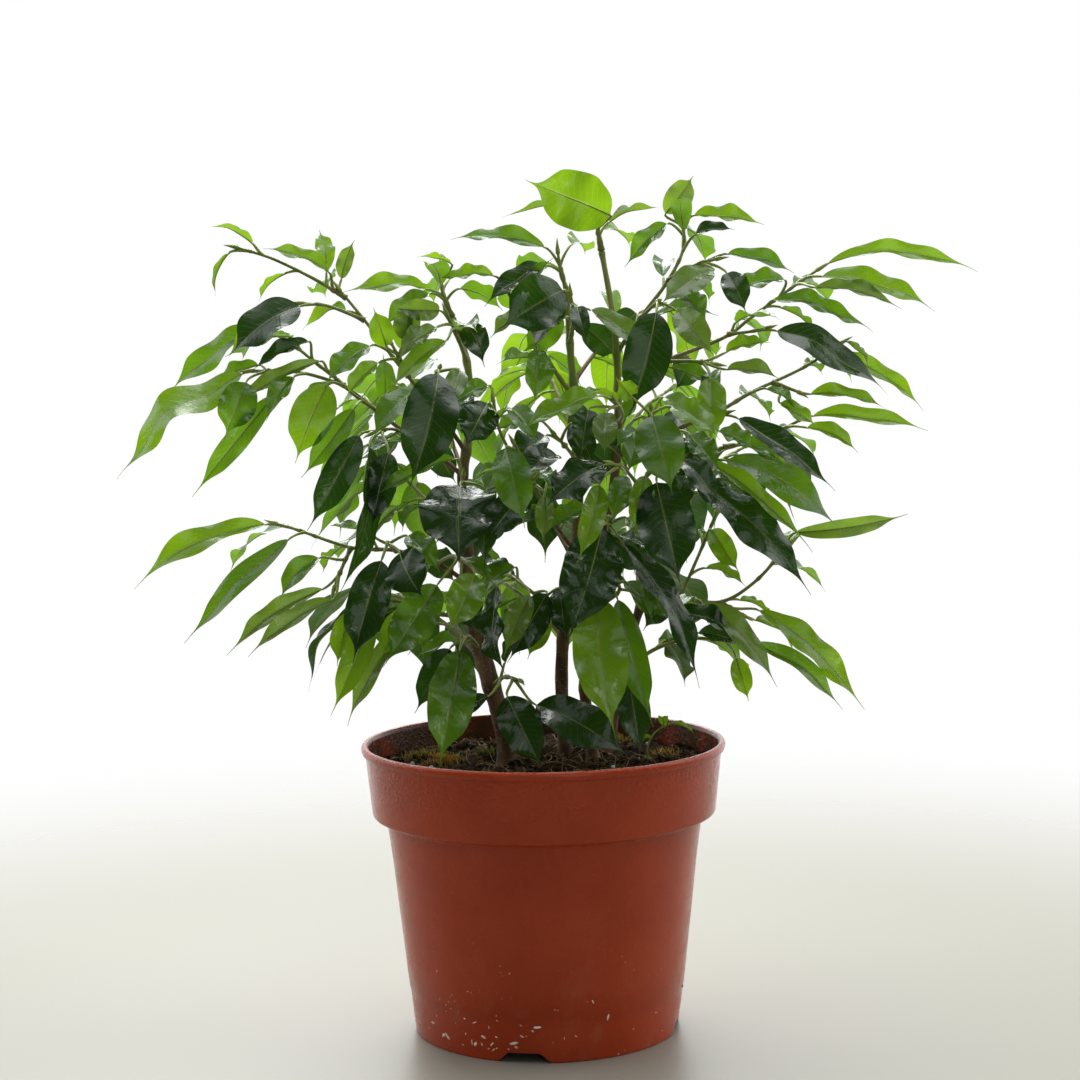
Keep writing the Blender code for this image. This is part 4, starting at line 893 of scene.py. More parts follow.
branch(
    ((-30, 10, 254), (-33, 9, 262), (-34, 8, 270)),
    leaves=(
        (-39, 7, 264, -68, 2, 263, 8, "UF", YOUNG), (-38, 2, 262, -54, -6, 249, 7, "UF", FULL),
        (-30, 7, 273, -42, 4, 275, 5, "U", YOUNG), (-31, 15, 268, -38, 42, 258, 11, "", FULL),
        (-27, 10, 264, -12, 18, 256, 8, "", FULL),
    ),
)
print("front branches so far:", len(BRANCHES))

# %% [markdown]
# These branches come forward, so most of their leaves are seen face on.

# %% Front branches: upper middle
branch(
    ((-26, -3, 184), (-27, -13, 193), (-26, -21, 199)),
    leaves=(
        (-27, -26, 196, -27, -52, 170, 26, "F", OLD_SHADED), (-29, -24, 205, -57, -30, 192, 6, "UF", FULL),
        (-18, -24, 193, -19, -34, 168, 10, "F", OLD_SHADED),
    ),
)
branch(
    ((12, 7, 170), (6, -8, 180), (0, -22, 192), (-4, -33, 202), (-8, -38, 210)),
    ((3, -15, 186), (-6, -22, 200), (-13, -27, 214), (-15, -31, 224)),
    leaves=(
        (-11, -42, 209, -5, -54, 183, 13, "F", FULL), (-5, -36, 193, -21, -46, 177, 12, "UF", OLD_SHADED),
        (2, -36, 192, 1, -42, 177, 6, "F", PALE), (-17, -35, 224, -25, -46, 209, 13, "F", OLD_SHADED),
        (-9, -32, 222, 0, -42, 210, 8, "UF", FULL), (-17, -28, 230, -32, -34, 222, 8, "UF", FULL),
        (6, -28, 206, -5, -40, 200, 10, "UF", OLD_SHADED), (2, -10, 196, -12, -4, 184, 11, "F", OLD_SHADED),
        (-2, -20, 205, -15, -12, 197, 9, "UF", FULL),
    ),
)
branch(
    ((28, -9, 216), (29, -22, 219), (26, -34, 224)),
    leaves=(
        (20, -41, 226, -7, -50, 214, 9, "UF", YOUNG), (23, -38, 220, 22, -47, 206, 8, "F", PALE),
        (17, -30, 221, 14, -38, 205, 9, "F", OLD_SHADED),
    ),
)
branch(
    ((14, 6, 200), (11, -8, 206), (6, -17, 212)),
    leaves=(
        (3, -21, 213, -8, -30, 204, 12, "UF", OLD_SHADED), (12, -19, 216, 19, -25, 202, 9, "F", OLD_SHADED),
        (-1, -14, 218, -16, -18, 214, 8, "UF", FULL), (16, -10, 208, 28, -2, 197, 10, "F", OLD_SHADED),
    ),
)
print("front branches so far:", len(BRANCHES))

# %% [markdown]
# A long branch leaves this side towards the right, and its side twigs fill the front.

# %% Front branches: right of the middle
branch(
    ((24, -8, 184), (34, -24, 195), (41, -38, 203), (41, -46, 203)),
    ((34, -24, 195), (29, -33, 201), (25, -38, 203)),
    leaves=(
        (39, -49, 197, 46, -60, 163, 19, "F", OLD_SHADED), (35, -47, 200, 30, -56, 181, 8, "F", YOUNG),
        (29, -42, 199, 24, -50, 183, 7, "F", FULL), (22, -41, 203, 2, -50, 189, 14, "UF", OLD_SHADED),
        (20, -44, 196, 12, -56, 171, 8, "F", YOUNG), (48, -46, 204, 60, -54, 190, 9, "UF", OLD_SHADED),
    ),
)
branch(
    ((27, -9, 204), (37, -12, 209), (49, -14, 214), (62, -12, 219), (75, -8, 226), (93, -4, 234),
     (106, -2, 242)),
    ((38, -12, 209), (38, -26, 215), (38, -37, 221)),
    ((60, -12, 218), (64, -18, 219)),
    ((82, -6, 229), (90, -10, 226)),
    leaves=(
        (38, -43, 219, 44, -56, 193, 16, "F", FULL), (45, -40, 222, 60, -50, 211, 10, "UF", YOUNG),
        (31, -38, 226, 26, -48, 232, 7, "F", YOUNG), (69, -22, 217, 101, -28, 192, 10, "UF", OLD_SHADED),
        (62, -24, 213, 74, -31, 206, 7, "UF", FULL), (95, -12, 225, 121, -15, 219, 6, "UF", YOUNG),
        (84, -15, 222, 96, -20, 214, 6, "UF", YOUNG), (109, -3, 243, 116, -5, 234, 5, "", PALE),
        (107, 3, 239, 137, 6, 218, 7, "UF", YOUNG), (98, 5, 238, 114, 24, 228, 11, "", FULL),
        (72, 2, 226, 84, 20, 214, 12, "", FULL), (52, -22, 212, 62, -34, 200, 9, "UF", FULL),
        (43, -31, 225, 58, -41, 215, 9, "UF", YOUNG), (45, -20, 211, 56, -30, 198, 10, "F", OLD_SHADED),
        (33, -22, 212, 28, -34, 199, 9, "F", FULL), (44, -4, 217, 54, 10, 206, 11, "UF", OLD_SHADED),
        (54, -6, 222, 62, -16, 210, 9, "UF", FULL),
    ),
)
print("front branches so far:", len(BRANCHES))

# %% [markdown]
# The lowest branches hang over the soil with broad old leaves and a few young ones.

# %% Front branches: lower middle
branch(
    ((22, -8, 171), (24, -20, 179), (24, -28, 184)),
    leaves=(
        (21, -33, 181, 8, -52, 144, 20, "F", OLD_SHADED), (29, -31, 175, 53, -42, 127, 12, "FR", OLD_SHADED),
        (30, -28, 184, 44, -38, 173, 9, "UF", YOUNG), (16, -26, 187, 2, -34, 180, 8, "UF", FULL),
        (25, -13, 176, 37, -2, 163, 11, "F", OLD_SHADED),
    ),
)
branch(
    ((18, -7, 150), (27, -20, 158), (24, -31, 164), (21, -38, 163)),
    leaves=(
        (19, -43, 158, 24, -58, 113, 18, "F", YOUNG), (26, -40, 157, 37, -48, 115, 10, "F", FULL),
        (33, -28, 158, 48, -36, 148, 8, "UF", FULL),
    ),
)
branch(
    ((15, -5, 122), (22, -17, 130), (26, -27, 135)),
    leaves=(
        (29, -33, 131, 33, -42, 104, 11, "F", OLD_SHADED),
    ),
)
branch(
    ((-18, -9, 124), (-13, -22, 129), (-8, -30, 129)),
    leaves=(
        (-12, -35, 124, 0, -46, 100, 14, "F", OLD_SHADED), (-2, -35, 121, 29, -46, 104, 17, "UF", OLD_SHADED),
        (-19, -27, 123, -36, -35, 111, 7, "UF", OLD_SHADED),
    ),
)
branch(
    ((-21, -9, 137), (-25, -20, 143), (-27, -28, 144)),
    leaves=(
        (-28, -34, 140, -35, -48, 102, 16, "F", FULL), (-32, -22, 139, -44, -30, 118, 10, "F", OLD_SHADED),
    ),
)
branch(
    ((9, 9, 145), (1, -3, 153), (-6, -14, 160), (-10, -24, 164)),
    leaves=(
        (-15, -30, 161, -12, -44, 132, 12, "FL", OLD_SHADED), (-4, -30, 158, -13, -38, 138, 8, "F", PALE),
        (2, -16, 157, -12, -22, 134, 12, "F", OLD_SHADED), (1, -8, 149, -5, -14, 134, 9, "F", YOUNG),
        (7, -10, 158, 9, -22, 140, 9, "F", OLD_SHADED), (-9, -20, 167, -22, -14, 156, 9, "UF", FULL),
    ),
)
print("front branches so far:", len(BRANCHES))

# %% [markdown]
# On the left, two branches reach outwards at half height, and their leaves droop.

# %% Front branches: left, middle and low
branch(
    ((-25, -6, 160), (-36, -13, 168), (-50, -16, 173), (-66, -12, 174), (-85, -6, 180), (-92, -5, 182)),
    ((-36, -13, 168), (-30, -28, 172), (-25, -41, 171)),
    ((-50, -16, 173), (-52, -24, 176), (-52, -31, 177)),
    ((-66, -12, 174), (-69, -18, 167), (-71, -20, 162)),
    leaves=(
        (-22, -47, 167, -31, -60, 149, 12, "F", YOUNG), (-35, -40, 163, -53, -50, 137, 14, "F", FULL),
        (-27, -40, 163, -21, -48, 147, 11, "F", OLD_SHADED), (-54, -34, 171, -64, -40, 137, 14, "F", OLD_SHADED),
        (-47, -35, 173, -38, -46, 157, 15, "F", OLD_SHADED), (-45, -28, 179, -34, -38, 167, 9, "UF", FULL),
        (-57, -24, 180, -47, -22, 190, 6, "UF", PALE), (-97, -4, 182, -143, -7, 160, 10, "UF", YOUNG),
        (-88, -12, 177, -124, -19, 142, 9, "UF", FULL), (-90, 3, 181, -114, 22, 160, 12, "", FULL),
        (-77, -18, 171, -90, -24, 157, 8, "UF", FULL), (-76, -17, 160, -109, -23, 138, 7, "UF", PALE),
        (-72, -25, 157, -100, -34, 139, 6, "UF", PALE), (-62, -4, 178, -74, 16, 166, 12, "", FULL),
        (-38, -8, 171, -30, 5, 159, 11, "", OLD_SHADED),
    ),
)
branch(
    ((-24, -8, 148), (-35, -19, 151), (-48, -26, 156), (-60, -28, 158)),
    leaves=(
        (-57, -33, 155, -72, -38, 119, 9, "F", YOUNG), (-65, -29, 153, -70, -32, 135, 8, "F", YOUNG),
        (-64, -22, 156, -81, -22, 125, 9, "L", OLD_SHADED), (-47, -35, 154, -55, -42, 138, 8, "F", YOUNG),
        (-45, -26, 148, -67, -30, 114, 7, "UF", PALE), (-38, -24, 156, -46, -28, 138, 8, "F", FULL),
    ),
)
print("front branches so far:", len(BRANCHES))

# %% [markdown]
# The stems end in upright twigs, and the topmost leaf stands on one of them.

# %% Front branches: top
branch(
    ((23, -4, 276), (22, -5, 282), (21, -6, 287)),
    leaves=(
        (26, -9, 288, -3, -15, 300, 20, "F", YOUNG), (15, -2, 290, -12, 2, 288, 5, "U", PALE),
        (26, -3, 286, 45, 1, 291, 5, "U", PALE), (24, 3, 284, 34, 22, 278, 11, "", YOUNG),
    ),
)
branch(
    ((11, 6, 262), (9, 5, 269), (8, 4, 275)),
    leaves=(
        (3, 4, 278, -30, 6, 281, 8, "UF", FULL), (3, 0, 271, -18, -8, 257, 9, "UF", OLD_SHADED),
        (13, 9, 279, 18, 30, 276, 10, "", YOUNG), (4, 11, 273, -8, 32, 266, 10, "", FULL),
    ),
)
branch(
    ((12, 6, 244), (13, -5, 253), (12, -13, 260)),
    leaves=(
        (9, -18, 262, -13, -30, 249, 19, "F", OLD_SHADED), (19, -15, 255, 39, -22, 238, 8, "UF", PALE),
        (14, -19, 256, 17, -28, 243, 6, "F", OLD_SHADED), (16, -4, 250, 28, 6, 239, 10, "F", OLD_SHADED),
        (9, -6, 253, -5, -2, 241, 10, "F", FULL),
    ),
)
branch(
    ((13, 6, 224), (7, 3, 233), (1, 1, 243), (-6, -1, 254), (-10, -3, 263)),
    leaves=(
        (-4, -9, 254, -16, -18, 246, 6, "UF", PALE), (-15, -3, 268, -35, -1, 267, 6, "UF", YOUNG),
        (-9, 4, 265, -16, 28, 254, 11, "", FULL), (-2, -8, 244, -8, -22, 229, 10, "F", FULL),
        (4, 6, 240, 16, 18, 228, 10, "", FULL),
    ),
)
branch(
    ((28, -8, 240), (36, -7, 252), (46, -5, 265), (52, 0, 277), (51, 3, 288)),
    ((46, -5, 265), (55, -8, 270), (62, -9, 272)),
    ((36, -7, 252), (41, -16, 257), (42, -22, 258)),
    leaves=(
        (46, 3, 289, 56, 6, 302, 9, "F", PALE), (46, -1, 285, 31, -6, 270, 7, "UF", FULL),
        (56, 0, 288, 80, -4, 284, 7, "UF", YOUNG), (56, -6, 281, 69, -12, 282, 6, "UF", OLD_SHADED),
        (54, 9, 284, 62, 32, 272, 12, "", FULL), (67, -8, 274, 90, -6, 267, 7, "UF", FULL),
        (61, -14, 268, 42, -22, 256, 12, "UF", PALE), (66, -14, 267, 72, -21, 253, 9, "F", OLD_SHADED),
        (42, -28, 255, 31, -40, 223, 16, "F", OLD_SHADED), (48, -25, 254, 60, -37, 238, 10, "F", PALE),
        (35, -1, 254, 26, 10, 243, 10, "", OLD_SHADED), (51, 2, 268, 62, 15, 257, 10, "", FULL),
        (49, -11, 262, 59, -19, 249, 9, "UF", FULL),
    ),
)
print("front branches so far:", len(BRANCHES))

# %% [markdown]
# On the right the branches rise and reach furthest, with narrow leaves at their ends.

# %% Front branches: right
branch(
    ((28, -9, 228), (45, 0, 237), (66, 5, 245), (76, 6, 252), (90, 6, 262), (99, 6, 268)),
    ((68, 5, 246), (75, -1, 247), (80, -4, 248)),
    ((45, 0, 237), (54, -5, 237), (61, -8, 236)),
    leaves=(
        (101, 2, 266, 140, 0, 253, 10, "UF", YOUNG), (104, 8, 271, 157, 10, 267, 7, "UF", YOUNG),
        (98, -4, 262, 127, -8, 254, 6, "UF", PALE), (87, 0, 265, 67, -5, 262, 8, "UF", FULL),
        (84, -7, 247, 122, -10, 224, 14, "UF", OLD_SHADED), (84, 2, 258, 119, 4, 246, 8, "UF", FULL),
        (66, -7, 240, 81, -10, 243, 6, "UF", YOUNG), (66, -12, 234, 84, -17, 230, 6, "UF", PALE),
        (59, -14, 231, 57, -24, 208, 10, "F", YOUNG), (72, 12, 252, 82, 36, 240, 12, "", FULL),
        (92, 13, 264, 108, 34, 256, 10, "", FULL), (54, 8, 238, 50, 26, 226, 11, "", OLD_SHADED),
        (38, 3, 233, 30, 16, 221, 10, "", FULL),
    ),
)
branch(
    ((66, 10, 206), (80, 8, 209), (92, 6, 215)),
    leaves=(
        (98, 5, 217, 138, 2, 211, 7, "UF", YOUNG), (95, -1, 213, 112, -6, 204, 6, "UF", YOUNG),
        (85, 14, 211, 102, 34, 200, 12, "", FULL), (73, 2, 208, 86, -6, 200, 8, "UF", FULL),
    ),
)
branch(
    ((52, 14, 190), (58, 4, 199), (62, -3, 203)),
    ((56, 7, 196), (54, -6, 199), (52, -15, 200)),
    leaves=(
        (66, -6, 202, 105, -13, 177, 15, "UF", FULL), (54, -20, 196, 92, -32, 157, 15, "UF", OLD_SHADED),
        (57, -20, 203, 92, -38, 172, 6, "UF", YOUNG), (52, -4, 196, 43, -12, 183, 10, "F", OLD_SHADED),
    ),
)
branch(
    ((37, 21, 151), (50, 11, 152), (64, 5, 151), (76, 3, 158), (88, 1, 171)),
    ((50, 11, 152), (57, 9, 168), (63, 8, 182)),
    ((55, 9, 151), (54, -1, 153)),
    ((64, 5, 151), (71, 3, 147)),
    leaves=(
        (91, 0, 176, 130, -2, 182, 6, "F", PALE), (61, 3, 177, 70, -5, 162, 8, "F", YOUNG),
        (66, 12, 186, 84, 26, 174, 12, "", FULL), (58, 16, 176, 66, 36, 162, 11, "", FULL),
        (57, -5, 152, 82, -15, 123, 9, "UF", PALE), (49, -6, 149, 70, -14, 140, 8, "UF", OLD_SHADED),
        (78, 2, 148, 114, -5, 113, 10, "UF", YOUNG), (77, 8, 144, 92, 16, 130, 8, "", YOUNG),
        (84, 9, 164, 104, 22, 152, 11, "", FULL), (45, 8, 154, 36, -3, 142, 10, "F", OLD_SHADED),
    ),
)
branch(
    ((29, 22, 124), (42, 25, 132), (56, 22, 136), (70, 15, 135)),
    leaves=(
        (77, 12, 135, 108, 8, 111, 7, "UF", FULL), (70, 9, 130, 74, 5, 115, 7, "F", YOUNG),
        (57, 14, 139, 76, 6, 134, 7, "UF", OLD_SHADED), (62, 29, 134, 76, 42, 116, 12, "", FULL),
        (46, 32, 134, 54, 50, 114, 12, "", OLD_SHADED),
    ),
)
planned = sum(len(rows) for _, rows in BRANCHES)
print("front branches:", len(BRANCHES), "with", planned, "leaves")

# %% [markdown]
# The branches at the back are alike, so a rule lays their leaves. Each row holds a branch's path, its number
# of leaves, their length and width, and their age. Leaves stand to the left and right in turn, and droop.

# %% Back branches of the plan
BACK_FIRST = 0.34  # where the first leaf stands, from the branch's start to its end
BACK_SWINGS = (58.0, 24.0)  # degrees from the branch's own way, at its start and at its end
BACK_DROPS = (38.0, 51.0, 64.0)  # degrees below level
BACK_STALK = 6.0  # how far to the side of the branch a blade begins
BACK_RISES = (2.0, -1.0)  # how far above the branch a blade begins
BACK_LENGTHS = (1.08, 0.94, 0.80)
BACK_WIDTHS = (1.1, 1.0, 0.9, 0.8)
BACK_LEAN = 0.3  # how far the blades' upper faces lean outwards
BACK_BRANCHES = (
    (((-26, -4, 172), (-37, 16, 184), (-50, 36, 196), (-62, 52, 205)), 7, 40, 15, FULL),
    (((-26, 1, 198), (-34, 24, 214), (-46, 44, 226), (-56, 62, 232)), 7, 40, 15, FULL),
    (((-20, -9, 132), (-32, 10, 142), (-46, 24, 150), (-60, 36, 154)), 7, 40, 14, OLD_SHADED),
    (((12, 7, 166), (4, 26, 180), (-6, 46, 194), (-12, 66, 202)), 7, 42, 16, OLD_SHADED),
    (((8, 9, 138), (0, 26, 146), (-12, 44, 154), (-20, 62, 156)), 6, 40, 14, FULL),
    (((14, 6, 208), (8, 26, 224), (2, 44, 238), (-2, 58, 246)), 7, 38, 13, YOUNG),
    (((13, 6, 230), (24, 24, 244), (36, 38, 254), (46, 50, 258)), 6, 38, 12, YOUNG),
    (((14, 6, 194), (28, 28, 208), (40, 46, 220), (50, 62, 226)), 7, 42, 16, FULL),
    (((46, 17, 174), (54, 34, 186), (66, 48, 198), (78, 58, 204)), 7, 40, 14, OLD_SHADED),
    (((37, 21, 148), (36, 42, 160), (34, 60, 170), (34, 78, 174)), 7, 42, 16, OLD_SHADED),
)
print("back branches:", len(BACK_BRANCHES))

# %% [markdown]
# ## From the plan to the real branches
# The solids are faceted, so the fine surfaces are laid on the plan's own points instead. The design lets a
# leaf that would touch a neighbour turn a little about its stalk, and starts a branch a little further from
# its stem where it must. Both are found again here: a leaf's tip is a corner of its branch's solid, so the
# first turn that puts the tip on a corner is the one that was taken.

# %% Places on paths and solids
def nearest_on(path, point):
    """The nearest place on a path: distance, place, stretch, share of the stretch, length up to it."""
    best = None
    run = 0.0
    for i, (a, b) in enumerate(zip(path, path[1:])):
        share = max(0.0, min(1.0, intersect_point_line(point, a, b)[1]))
        place = a.lerp(b, share)
        found = ((place - point).length, place, i, share, run + (b - a).length * share)
        if best is None or found[0] < best[0]:
            best = found
        run += (b - a).length
    return best


def along(path, length):
    for a, b in zip(path, path[1:]):
        step = (b - a).length
        if length <= step:
            return a.lerp(b, max(0.0, length) / step)
        length -= step
    return path[-1].copy()


def corners_of(name):
    """The corners of a solid, ready for a nearest-corner search, in mm."""
    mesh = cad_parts[name].data
    tree = KDTree(len(mesh.vertices))
    for i, vert in enumerate(mesh.vertices):
        tree.insert(vert.co / MM, i)
    tree.balance()
    return tree


print("corners of the first branch:", len(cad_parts["branch_01"].data.vertices))

# %% [markdown]
# A branch starts just clear of its stem's skin. The solid's stem has one extra point in each stretch of its
# path, so the path is halved in the same way before the branch's place on it is looked for.

# %% Where the branches start
GAP = 0.3
START_STEP = 0.3
START_STEPS = 12
TWIG_RADIUS = 1.1
TWIG_TIP_RADIUS = 0.5
SIDE_TWIG = 0.8


def halved(points):
    """A stem's path with its corners softened by one more point in each stretch, as the solid has."""
    made = []
    for i in range(len(points) - 1):
        before, after = points[max(i - 1, 0)], points[min(i + 2, len(points) - 1)]
        a, b = points[i], points[i + 1]
        made += [a, (a + b) / 2 + ((b - before) - (after - a)) / 16]
    return made + [points[-1]]


def halved_radii(radii):
    middle = [[a, (a + b) / 2] for a, b in zip(radii, radii[1:])]
    return [r for pair in middle for r in pair] + [radii[-1]]


stem_paths = [halved([Vector(point) for point, _ in rows]) for rows in STEMS]
stem_radii = [halved_radii([radius for _, radius in rows]) for rows in STEMS]


def wood_of(name, routes):
    """The branch's paths as the solid has them, and the place on its stem's axis that it leaves."""
    corners = corners_of(name)
    points = [Vector(point) for point in routes[0]]
    found = [(nearest_on(path, points[0]), radii) for path, radii in zip(stem_paths, stem_radii)]
    (_, start, i, share, _), radii = min(found, key=lambda item: item[0][0])
    radius = radii[i] + (radii[i + 1] - radii[i]) * share
    way = (points[1] - start).normalized()
    misses = []
    for step in range(START_STEPS):
        first = start + way * (radius + GAP + START_STEP * step)
        misses.append(abs(corners.find(first)[2] - TWIG_RADIUS))
    step = misses.index(min(misses))
    paths = [[start + way * (radius + GAP + START_STEP * step), *points[1:]]]
    for route in routes[1:]:
        side = [Vector(point) for point in route]
        paths.append([nearest_on(paths[0], side[0])[1], *side[1:]])
    return paths, start, corners


print("the first branch starts at", [round(v, 1) for v in wood_of("branch_01", BRANCHES[0][0])[0][0][0]])

# %% [markdown]
# A blade hangs on a stalk, which leaves the wood a little before the blade's base. The leaf turns about that
# place, so the turn moves its base, its tip and the way it faces together.

# %% Turns of a leaf
TURN_SIZES = (7, 14, 21, 28, 36, 46, 58)
TURN_WAYS = 8


def turns():
    """Every turn that a leaf may take, the least first: sideways and up, in radians."""
    made = [(0.0, 0.0)]
    for size in TURN_SIZES:
        for i in range(TURN_WAYS):
            angle = math.tau * i / TURN_WAYS
            made.append((math.radians(size) * math.cos(angle), math.radians(size) * math.sin(angle)))
    return made


def swing_of(heading, turn):
    across = UP.cross(heading)
    if across.length < 0.001:
        across = Vector((1, 0, 0))
    return Quaternion(UP, turn[0]) @ Quaternion(across.normalized(), turn[1])


def settled(root, base, tip, facing, corners):
    """The leaf's base, tip and facing after the turn that it took."""
    near = 0.08
    for turn in turns():
        swing = swing_of(tip - root, turn)
        end = root + swing @ (tip - root)
        if corners.find(end)[2] < near:
            return root + swing @ (base - root), end, swing @ facing
    return None


print("turns to try:", len(turns()))

# %% [markdown]
# A front leaf is read from its row, and a back leaf follows from the rule. Either way the branch then keeps
# each leaf's settled base, tip and facing, and how far along its twig the stalk starts.

# %% Where the leaves are
PETIOLE_SLANT = 4.0
PETIOLE_FIRST = 3.0
OUTWARD = 0.7


def facing_of(letters, base):
    if letters:
        return sum((WAYS[letter] for letter in letters), Vector())
    return Vector((base.x, base.y, 0)).normalized() * OUTWARD + UP


def planned_leaves(rows):
    for row in rows:
        base = Vector(row[0:3])
        yield base, Vector(row[3:6]), row[6], facing_of(row[7], base), row[8]


def back_leaves(path, count, length, width, age):
    """Leaves along a branch, alternately to its two sides, the last one straight on."""
    total = runs_of(path)[-1]
    for i in range(count):
        share = BACK_FIRST + (1 - BACK_FIRST) * i / (count - 1)
        place = along(path, share * total)
        heading = place - along(path, share * total - BACK_STALK)
        swing = math.radians(BACK_SWINGS[0] + (BACK_SWINGS[1] - BACK_SWINGS[0]) * share)
        if i == count - 1:
            swing = 0.0
        elif i % 2 == 0:
            swing = -swing
        way = Quaternion(UP, swing) @ Vector((heading.x, heading.y, 0)).normalized()
        drop = math.radians(BACK_DROPS[i % len(BACK_DROPS)])
        hang = way * math.cos(drop) - UP * math.sin(drop)
        base = place + way * BACK_STALK + UP * BACK_RISES[i % len(BACK_RISES)]
        tip = base + hang * length * BACK_LENGTHS[i % len(BACK_LENGTHS)]
        facing = way * (math.sin(drop) + BACK_LEAN) + UP * math.cos(drop)
        yield base, tip, width * BACK_WIDTHS[i % len(BACK_WIDTHS)], facing, age


branches = []
lost = 0
plan = [(routes, rows, None) for routes, rows in BRANCHES]
plan += [((route,), None, rule) for route, *rule in BACK_BRANCHES]
for number, (routes, rows, rule) in enumerate(plan, 1):
    name = f"branch_{number:02d}"
    paths, start, corners = wood_of(name, routes)
    leaves = []
    for base, tip, width, facing, age in back_leaves(paths[0], *rule) if rule else planned_leaves(rows):
        nearest = min((nearest_on(path, base)[0], i) for i, path in enumerate(paths))[1]
        run = max(nearest_on(paths[nearest], base)[4] - PETIOLE_SLANT, PETIOLE_FIRST)
        placed = settled(along(paths[nearest], run), base, tip, facing, corners)
        if placed is None:
            lost += 1
            continue
        leaves.append((*placed, width, age, nearest, run))
    branches.append((name, paths, start, leaves))
print("branches:", len(branches), "leaves:", sum(len(b[3]) for b in branches), "not found:", lost)

# %% [markdown]
# ## Bark
# The oldest stem is thick, brown and knobbly, the other three are thinner and younger, and twigs go
# from brown at their start to yellow-green where they are still growing. Fig bark has short pale pores across
# it. One finish serves all wood: a shade stored along each rod says how old it is there.

# %% Wood finish
wood = finish("wood")
age = stored(wood)
streaks = cloud(wood, 260.0, 4, (1, 1, 0.3))
spots = node(wood, "TexCoord", {}).outputs["Object"]
spots = node(wood, "Mapping", {"Vector": spots, "Scale": (1, 1, 2.6)}).outputs[0]
pores = node(wood, "TexVoronoi", {"Vector": spots, "Scale": 420.0}).outputs["Distance"]
pores = calc(wood, "MULTIPLY", between(wood, pores, 0.28, 0.14), between(wood, age, 0.45, 0.8))
green = blend(wood, between(wood, streaks, 0.35, 0.65), (0.17, 0.23, 0.035), (0.27, 0.30, 0.06))
brown = blend(wood, between(wood, streaks, 0.35, 0.65), (0.075, 0.038, 0.019), (0.23, 0.125, 0.062))
bark_color = blend(wood, between(wood, age, 0.2, 0.62), green, brown)
bark_color = blend(wood, calc(wood, "MULTIPLY", pores, 0.7), bark_color, (0.34, 0.25, 0.17))
bark_height = calc(wood, "ADD", calc(wood, "MULTIPLY", streaks, age), calc(wood, "MULTIPLY", pores, 0.4))
bark_roughness = between(wood, age, 0.1, 0.7, 0.42, 0.72)
paint(wood, surface(wood, bark_color, bark_roughness, relief(wood, bark_height, 0.00035)))
print("wood finish:", len(wood.node_tree.nodes), "nodes")

# %% [markdown]
# ## Stems
# A stem flares where it enters the soil, swells a little where each branch leaves it, and ends in the twig
# that carries the top leaves. The rings are close together, so the bark's unevenness shows in its outline.

# %% Stems
def ease(t):
    """Goes smoothly from 0 to 1 as t does."""
    t = max(0.0, min(1.0, t))
    return t * t * (3 - 2 * t)


STEM_SIDES = 20
STEM_SPACING = 1.3
FLARE = 0.55
SINK = 10.0
stem_ages = (1.0, 0.85, 0.85, 0.6)
for number, (rows, oldest) in enumerate(zip(STEMS, stem_ages), 1):
    points = [Vector(point) for point, _ in rows]
    points.insert(0, points[0] - UP * SINK)
    path = smooth(points, STEM_SPACING)
    foot_z = points[1].z
    widths = [rows[0][1], *[radius for _, radius in rows]]
    starts = [start for _, _, start, _ in branches]
    radii = []
    tones = []
    for p in path:
        _, _, i, share, _ = nearest_on(points, p)
        radius = widths[i] + (widths[i + 1] - widths[i]) * share
        radius *= 1 + FLARE * math.exp(-max(0.0, p.z - foot_z - 1) / 3.5)
        close = min((start - p).length for start in starts)
        radius += 0.35 * math.exp(-((close / 2.2) ** 2))
        radii.append(radius)
        grown = (p.z - foot_z) / (points[-1].z - foot_z)
        tones.append(oldest * (1 - 0.9 * ease((grown - 0.35) / 0.6)))
    radii[-1] *= 0.6
    stem = Skin()
    rod(stem, path, radii, STEM_SIDES, tones, bark=0.09)
    stem.piece(f"stem_{number}_bark", [wood], "bark", f"stem_{number}")
print("stems:", len(STEMS))

# %% [markdown]
# ## Blades
# A fig's blade is a thin, stiff sheet: oval, folded up along its midrib like a shallow boat, wavy at its
# margin, and drawn out to a long drip tip that hooks down. A flat card with a picture would lose its gloss
# lines, so each blade is a grid of ribs across a curved midrib. Narrow leaves are the young ones that are
# still half folded, so their halves stand steeper. Every blade draws its own bend, twist and waves.

# %% Blade shape
WIDEST = 0.4
FULLNESS = 0.6
LEAF_ARCH = 0.10
BLADE_ROWS = 30
BLADE_RIBS = 6
RIM = 0.1
DRIP_WIDTH = 0.32
FOLD_WIDE = math.radians(15)
FOLD_NARROW = math.radians(40)
NARROW = 6.0
WIDE = 13.0


def blade_share(t):
    """Half-width at t from base to tip, as a share of the widest."""
    if t < WIDEST:
        return (1 - (1 - t / WIDEST) ** 2) ** FULLNESS
    left = (t - WIDEST) / (1 - WIDEST)
    return (1 - left**2.2) ** 1.3 * (1 - 0.85 * ease((left - 0.45) / 0.42))


